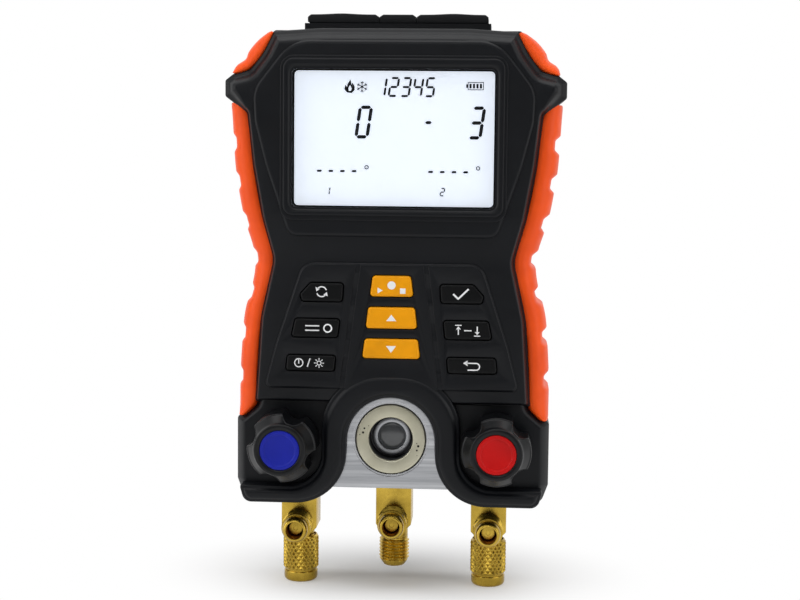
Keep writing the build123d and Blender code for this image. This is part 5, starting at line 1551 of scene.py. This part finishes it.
def strip_piece(name, node, side, ends, notched, body, heights):
    """One length of the strip between two ends, each with a hinge notch or rounded off."""
    form = Form()
    rows = []
    for x in strip_stations(*ends):
        under, top = heights
        for near, notch in ((x - ends[0], notched[0]), (ends[1] - x, notched[1])):
            fall = 1 - near / END_RUN
            if fall > 0 and notch:
                top -= 0.85 * fall
            elif fall > 0:
                top -= 0.9 * fall ** 1.4
                under += 0.5 * fall ** 1.6
        calm = 1 - swell_at(x)
        section = cover_section(x, under, top - COVER_FLAT * calm, COVER_NARROW * calm)
        rows.append([(side * px, y, z) for px, y, z in section])
    rings = form.grid(rows, closed=True)
    form.cap(rings[0])
    form.cap(rings[-1])
    form.make(name, COVER_BLACK, body, node=node, slot="cover_rubber", sharp=40)


for side, name in ((1, "right"), (-1, "left")):
    strip_piece(f"{name}_cover_strip", f"{name}_probe_cover", side, (COVER_LOW.x, COVER_HIGH.x),
                (True, False), f"{name}_cover", (COVER_LOW.z, COVER_HIGH.z))
anchor_low, anchor_high = gauge("cover_anchor")
strip_piece("cover_strip_middle", "cover_anchor", 1, (anchor_low.x, anchor_high.x), (True, True), "root",
            (anchor_low.z, anchor_high.z))
print("strip from x", round(-COVER_HIGH.x, 1), "to", round(COVER_HIGH.x, 1))

# %% [markdown]
# ## Finishes on the frame's own solids
# Pieces that are simple turned or moulded solids keep the shape they have in the frame. They only need
# their finish, which goes on through the object's own material slot.

# %% Finishes on solids
SOLID_FINISH = {
    SHELL_BLACK: ["rear_shell", "battery_door", "hanging_hook"],
    SEAL_GREY: ["housing_seal", "keypad_mat", "sight_glass_seal", "bonnet_seals", "low_cap_gasket",
                "high_cap_gasket"],
    BOARD_GREEN: ["main_board"],
    PART_BLACK: ["board_components", "key_switches"],
    CELL_BLUE: ["batteries"],
    SOCKET_BLACK: ["probe_sockets"],
    SPRING_STEEL: ["battery_contacts"],
    SENSOR_STEEL: ["pressure_sensors"],
    LCD_PALE: ["backlight_plate"],
    BLOCK: ["manifold_block", "gallery_plug"],
    BRASS: ["low_valve_bonnet", "high_valve_bonnet", "low_valve_stem", "high_valve_stem", "low_valve_piston",
            "high_valve_piston"],
    STEEL: ["hook_pin", "housing_screws", "block_screws", "low_knob_screw", "high_knob_screw"],
}
for finish, names in SOLID_FINISH.items():
    for node_name in names:
        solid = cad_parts[node_name]
        if not solid.material_slots:
            solid.data.materials.append(finish)
        for finish_slot in solid.material_slots:
            finish_slot.link = "OBJECT"
            finish_slot.material = finish
print("solids finished:", sum(len(names) for names in SOLID_FINISH.values()))

# %% [markdown]
# ## The camera
# The instrument stands on its fittings. The camera stands half a metre away, a little to the right and at
# about the height of the display, and looks slightly down. Its turn, tilt and lean are written as angles,
# and the three axes that follow from them fill its matrix, because a matrix leaves no doubt about the order
# of turns.

# %% Camera
CAMERA_TURN = 0.066       # radians: to the left, down, and leaning to the side
CAMERA_TILT = 0.093
CAMERA_LEAN = 0.010
CAMERA_PLACE = row(38.894, -544.778, 158.849)
SENSOR_WIDTH = 36.0
FOCAL_SHARE = 1.948945    # focal length over the sensor's width


def camera_axes(turn, tilt, lean):
    forward = Vector((-math.sin(turn) * math.cos(tilt), math.cos(turn) * math.cos(tilt), -math.sin(tilt)))
    right = Vector((math.cos(turn), math.sin(turn), 0))
    up = right.cross(forward)
    across = right * math.cos(lean) + up * math.sin(lean)
    return across, up * math.cos(lean) - right * math.sin(lean), forward


across, upward, forward = camera_axes(CAMERA_TURN, CAMERA_TILT, CAMERA_LEAN)
camera = bpy.data.objects.new("camera", bpy.data.cameras.new("camera"))
bpy.context.scene.collection.objects.link(camera)
camera.data.sensor_width = SENSOR_WIDTH
camera.data.lens = FOCAL_SHARE * SENSOR_WIDTH
camera.data.clip_start = 0.01
camera.matrix_world = Matrix(((across.x, upward.x, -forward.x, CAMERA_PLACE.x),
                              (across.y, upward.y, -forward.y, CAMERA_PLACE.y),
                              (across.z, upward.z, -forward.z, CAMERA_PLACE.z),
                              (0, 0, 0, 1)))
bpy.context.scene.camera = camera
print("camera at", [round(v, 3) for v in CAMERA_PLACE], "with a lens of", round(camera.data.lens, 1), "mm")

# %% [markdown]
# ## The lamps
# Black plastic shows its form only by what it mirrors. Two tall soft lamps at the sides draw calm lines
# along the edges of the shells, a broad one overhead lights the floor, and a weak one in front keeps the
# face readable. Small hard lamps would be simpler, but they would leave hot spots on the brass.

# %% Lamps
def lamp(name, where, towards, size, power):
    light = bpy.data.lights.new(name, "AREA")
    light.shape = "RECTANGLE"
    light.size, light.size_y = size
    light.energy = power
    holder = bpy.data.objects.new(name, light)
    bpy.context.scene.collection.objects.link(holder)
    holder.location = row(*where)
    holder.rotation_euler = (row(*towards) - row(*where)).to_track_quat("-Z", "Y").to_euler()


lamp("left_lamp", (-600, -230, 320), (0, 0, 110), (0.5, 0.7), 2.3)
lamp("right_lamp", (600, -230, 300), (0, 0, 110), (0.5, 0.7), 1.9)
lamp("top_lamp", (0, -60, 700), (0, 10, 100), (0.7, 0.5), 2.6)
lamp("front_lamp", (-120, -900, 620), (0, 0, 90), (0.5, 0.4), 1.3)
print("lamps:", [light.name for light in bpy.data.lights])

# %% [markdown]
# ## The floor
# The floor is plain pale card. Near the fittings it is lit like any card, so that their shadow falls on
# it. Further out it turns into an even white, but only for rays that are seen: those of the camera, and
# those that metal mirrors or that pass through clear plastic. The light that it throws back on the
# instrument stays that of lit card. Lighting the whole floor to white would wash out the shadow.

# %% Rays that are seen
def math_node(nodes, links, operation, first, second):
    """A maths node fed by two sockets."""
    node = nodes.new("ShaderNodeMath")
    node.operation = operation
    links.new(first, node.inputs[0])
    links.new(second, node.inputs[1])
    return node.outputs["Value"]


def mirrored_rays(nodes, links):
    """1 for rays that come from metal or through clear plastic, with the node that tells rays apart."""
    ray = nodes.new("ShaderNodeLightPath")
    glossy, transmitted = ray.outputs["Is Glossy Ray"], ray.outputs["Is Transmission Ray"]
    return math_node(nodes, links, "MAXIMUM", glossy, transmitted), ray


print("rays are told apart by one Light Path node in the floor and one in the room")

# %% Floor finish
FLOOR_WHITE = new_material("floor_white", (0.93, 0.93, 0.93), 0.9, specular=0.0)
WHITE_FROM = 0.012        # metres from the frame's middle where the even white begins
WHITE_FULL = 0.10
WHITE_NEARER = 1.5        # the white comes nearer by this factor in front and behind
floor_nodes, floor_links, floor_shader = nodes_of(FLOOR_WHITE)
vary_roughness(FLOOR_WHITE, noise(FLOOR_WHITE, 3), 0.85, 0.95)
place = floor_nodes.new("ShaderNodeNewGeometry")
squeeze = floor_nodes.new("ShaderNodeVectorMath")
squeeze.operation = "MULTIPLY"
squeeze.inputs[1].default_value = (1.0, WHITE_NEARER, 1.0)
distance = floor_nodes.new("ShaderNodeVectorMath")
distance.operation = "DISTANCE"
distance.inputs[1].default_value = (0.0, 0.0, BASE.z)
fade = floor_nodes.new("ShaderNodeMapRange")
fade.interpolation_type = "SMOOTHSTEP"
fade.inputs["From Min"].default_value = WHITE_FROM
fade.inputs["From Max"].default_value = WHITE_FULL
floor_links.new(place.outputs["Position"], squeeze.inputs[0])
floor_links.new(squeeze.outputs["Vector"], distance.inputs[0])
floor_links.new(distance.outputs["Value"], fade.inputs["Value"])
floor_mirrored, floor_ray = mirrored_rays(floor_nodes, floor_links)
looked_at = floor_ray.outputs["Is Camera Ray"]
floor_seen = math_node(floor_nodes, floor_links, "MAXIMUM", floor_mirrored, looked_at)
white_part = math_node(floor_nodes, floor_links, "MULTIPLY", floor_seen, fade.outputs["Result"])
print("the floor turns white from", WHITE_FROM, "to", WHITE_FULL, "m")

# %% [markdown]
# ### Laying the floor
# The lit card and the even white are mixed, and one large face carries the result. It is marked as stage,
# so that it is not counted as a part of the instrument.

# %% Floor
even_white = floor_nodes.new("ShaderNodeEmission")
blend = floor_nodes.new("ShaderNodeMixShader")
floor_links.new(white_part, blend.inputs["Fac"])
floor_links.new(floor_shader.outputs["BSDF"], blend.inputs[1])
floor_links.new(even_white.outputs["Emission"], blend.inputs[2])
floor_links.new(blend.outputs["Shader"], floor_nodes["Material Output"].inputs["Surface"])
floor_mesh = bpy.data.meshes.new("studio_floor")
floor_corners = ((-1600, -900), (1600, -900), (1600, 1600), (-1600, 1600))
floor_mesh.from_pydata([row(x, y, 0) for x, y in floor_corners], [], [(0, 1, 2, 3)])
floor_mesh.materials.append(FLOOR_WHITE)
floor = bpy.data.objects.new("studio_floor", floor_mesh)
bpy.context.scene.collection.objects.link(floor)
floor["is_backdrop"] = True
print("floor laid at", round(BASE.z, 4), "m")

# %% [markdown]
# ## The room
# The room has no walls. The world is white to the camera, and for mirrored rays it is bright behind the
# instrument and dim in front, so that dark plastic stays dark while polished metal still shows both. For
# plain light it gives a share of that, which fills the shadows.

# %% Room
ROOM_FRONT = 0.07         # brightness seen in a mirror that faces the front
ROOM_REAR = 1.0
ROOM_SHARE = 0.6          # the share of it that lights plain surfaces
room = bpy.data.worlds.new("studio")
bpy.context.scene.world = room
room.use_nodes = True
room_nodes, room_links = room.node_tree.nodes, room.node_tree.links
way = room_nodes.new("ShaderNodeTexCoord")
split = room_nodes.new("ShaderNodeSeparateXYZ")
depth = room_nodes.new("ShaderNodeMapRange")
depth.interpolation_type = "SMOOTHSTEP"
depth.inputs["From Min"].default_value = -0.25
depth.inputs["From Max"].default_value = 0.75
depth.inputs["To Min"].default_value = ROOM_FRONT
depth.inputs["To Max"].default_value = ROOM_REAR
room_links.new(way.outputs["Generated"], split.inputs["Vector"])
room_links.new(split.outputs["Y"], depth.inputs["Value"])
print("room brightness runs from", ROOM_FRONT, "in front to", ROOM_REAR, "behind")

# %% [markdown]
# ### What the room gives to which ray
# The brightness is worked out for mirrored rays first, cut to its share for plain light, and raised to
# full white for the camera.

# %% Room light
room_mirrored, room_ray = mirrored_rays(room_nodes, room_links)
share = room_nodes.new("ShaderNodeMapRange")
share.inputs["To Min"].default_value = ROOM_SHARE
share.inputs["To Max"].default_value = 1.0
room_links.new(room_mirrored, share.inputs["Value"])
shared = math_node(room_nodes, room_links, "MULTIPLY", share.outputs["Result"], depth.outputs["Result"])
strength = math_node(room_nodes, room_links, "MAXIMUM", shared, room_ray.outputs["Is Camera Ray"])
background = room_nodes["Background"]
background.inputs["Color"].default_value = (1, 1, 1, 1)
room_links.new(strength, background.inputs["Strength"])
bpy.context.scene.view_settings.view_transform = "Standard"
print("studio ready with", len(bpy.data.lights), "lamps")

# %% [markdown]
# ## Sizes
# The dressed model's box is measured and printed, with the floor left out. The dressed model has to stay
# inside the box of its solids.

# %% Sizes
low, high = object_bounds()
print("visual box:", [round(v * 1000, 1) for v in low], [round(v * 1000, 1) for v in high])
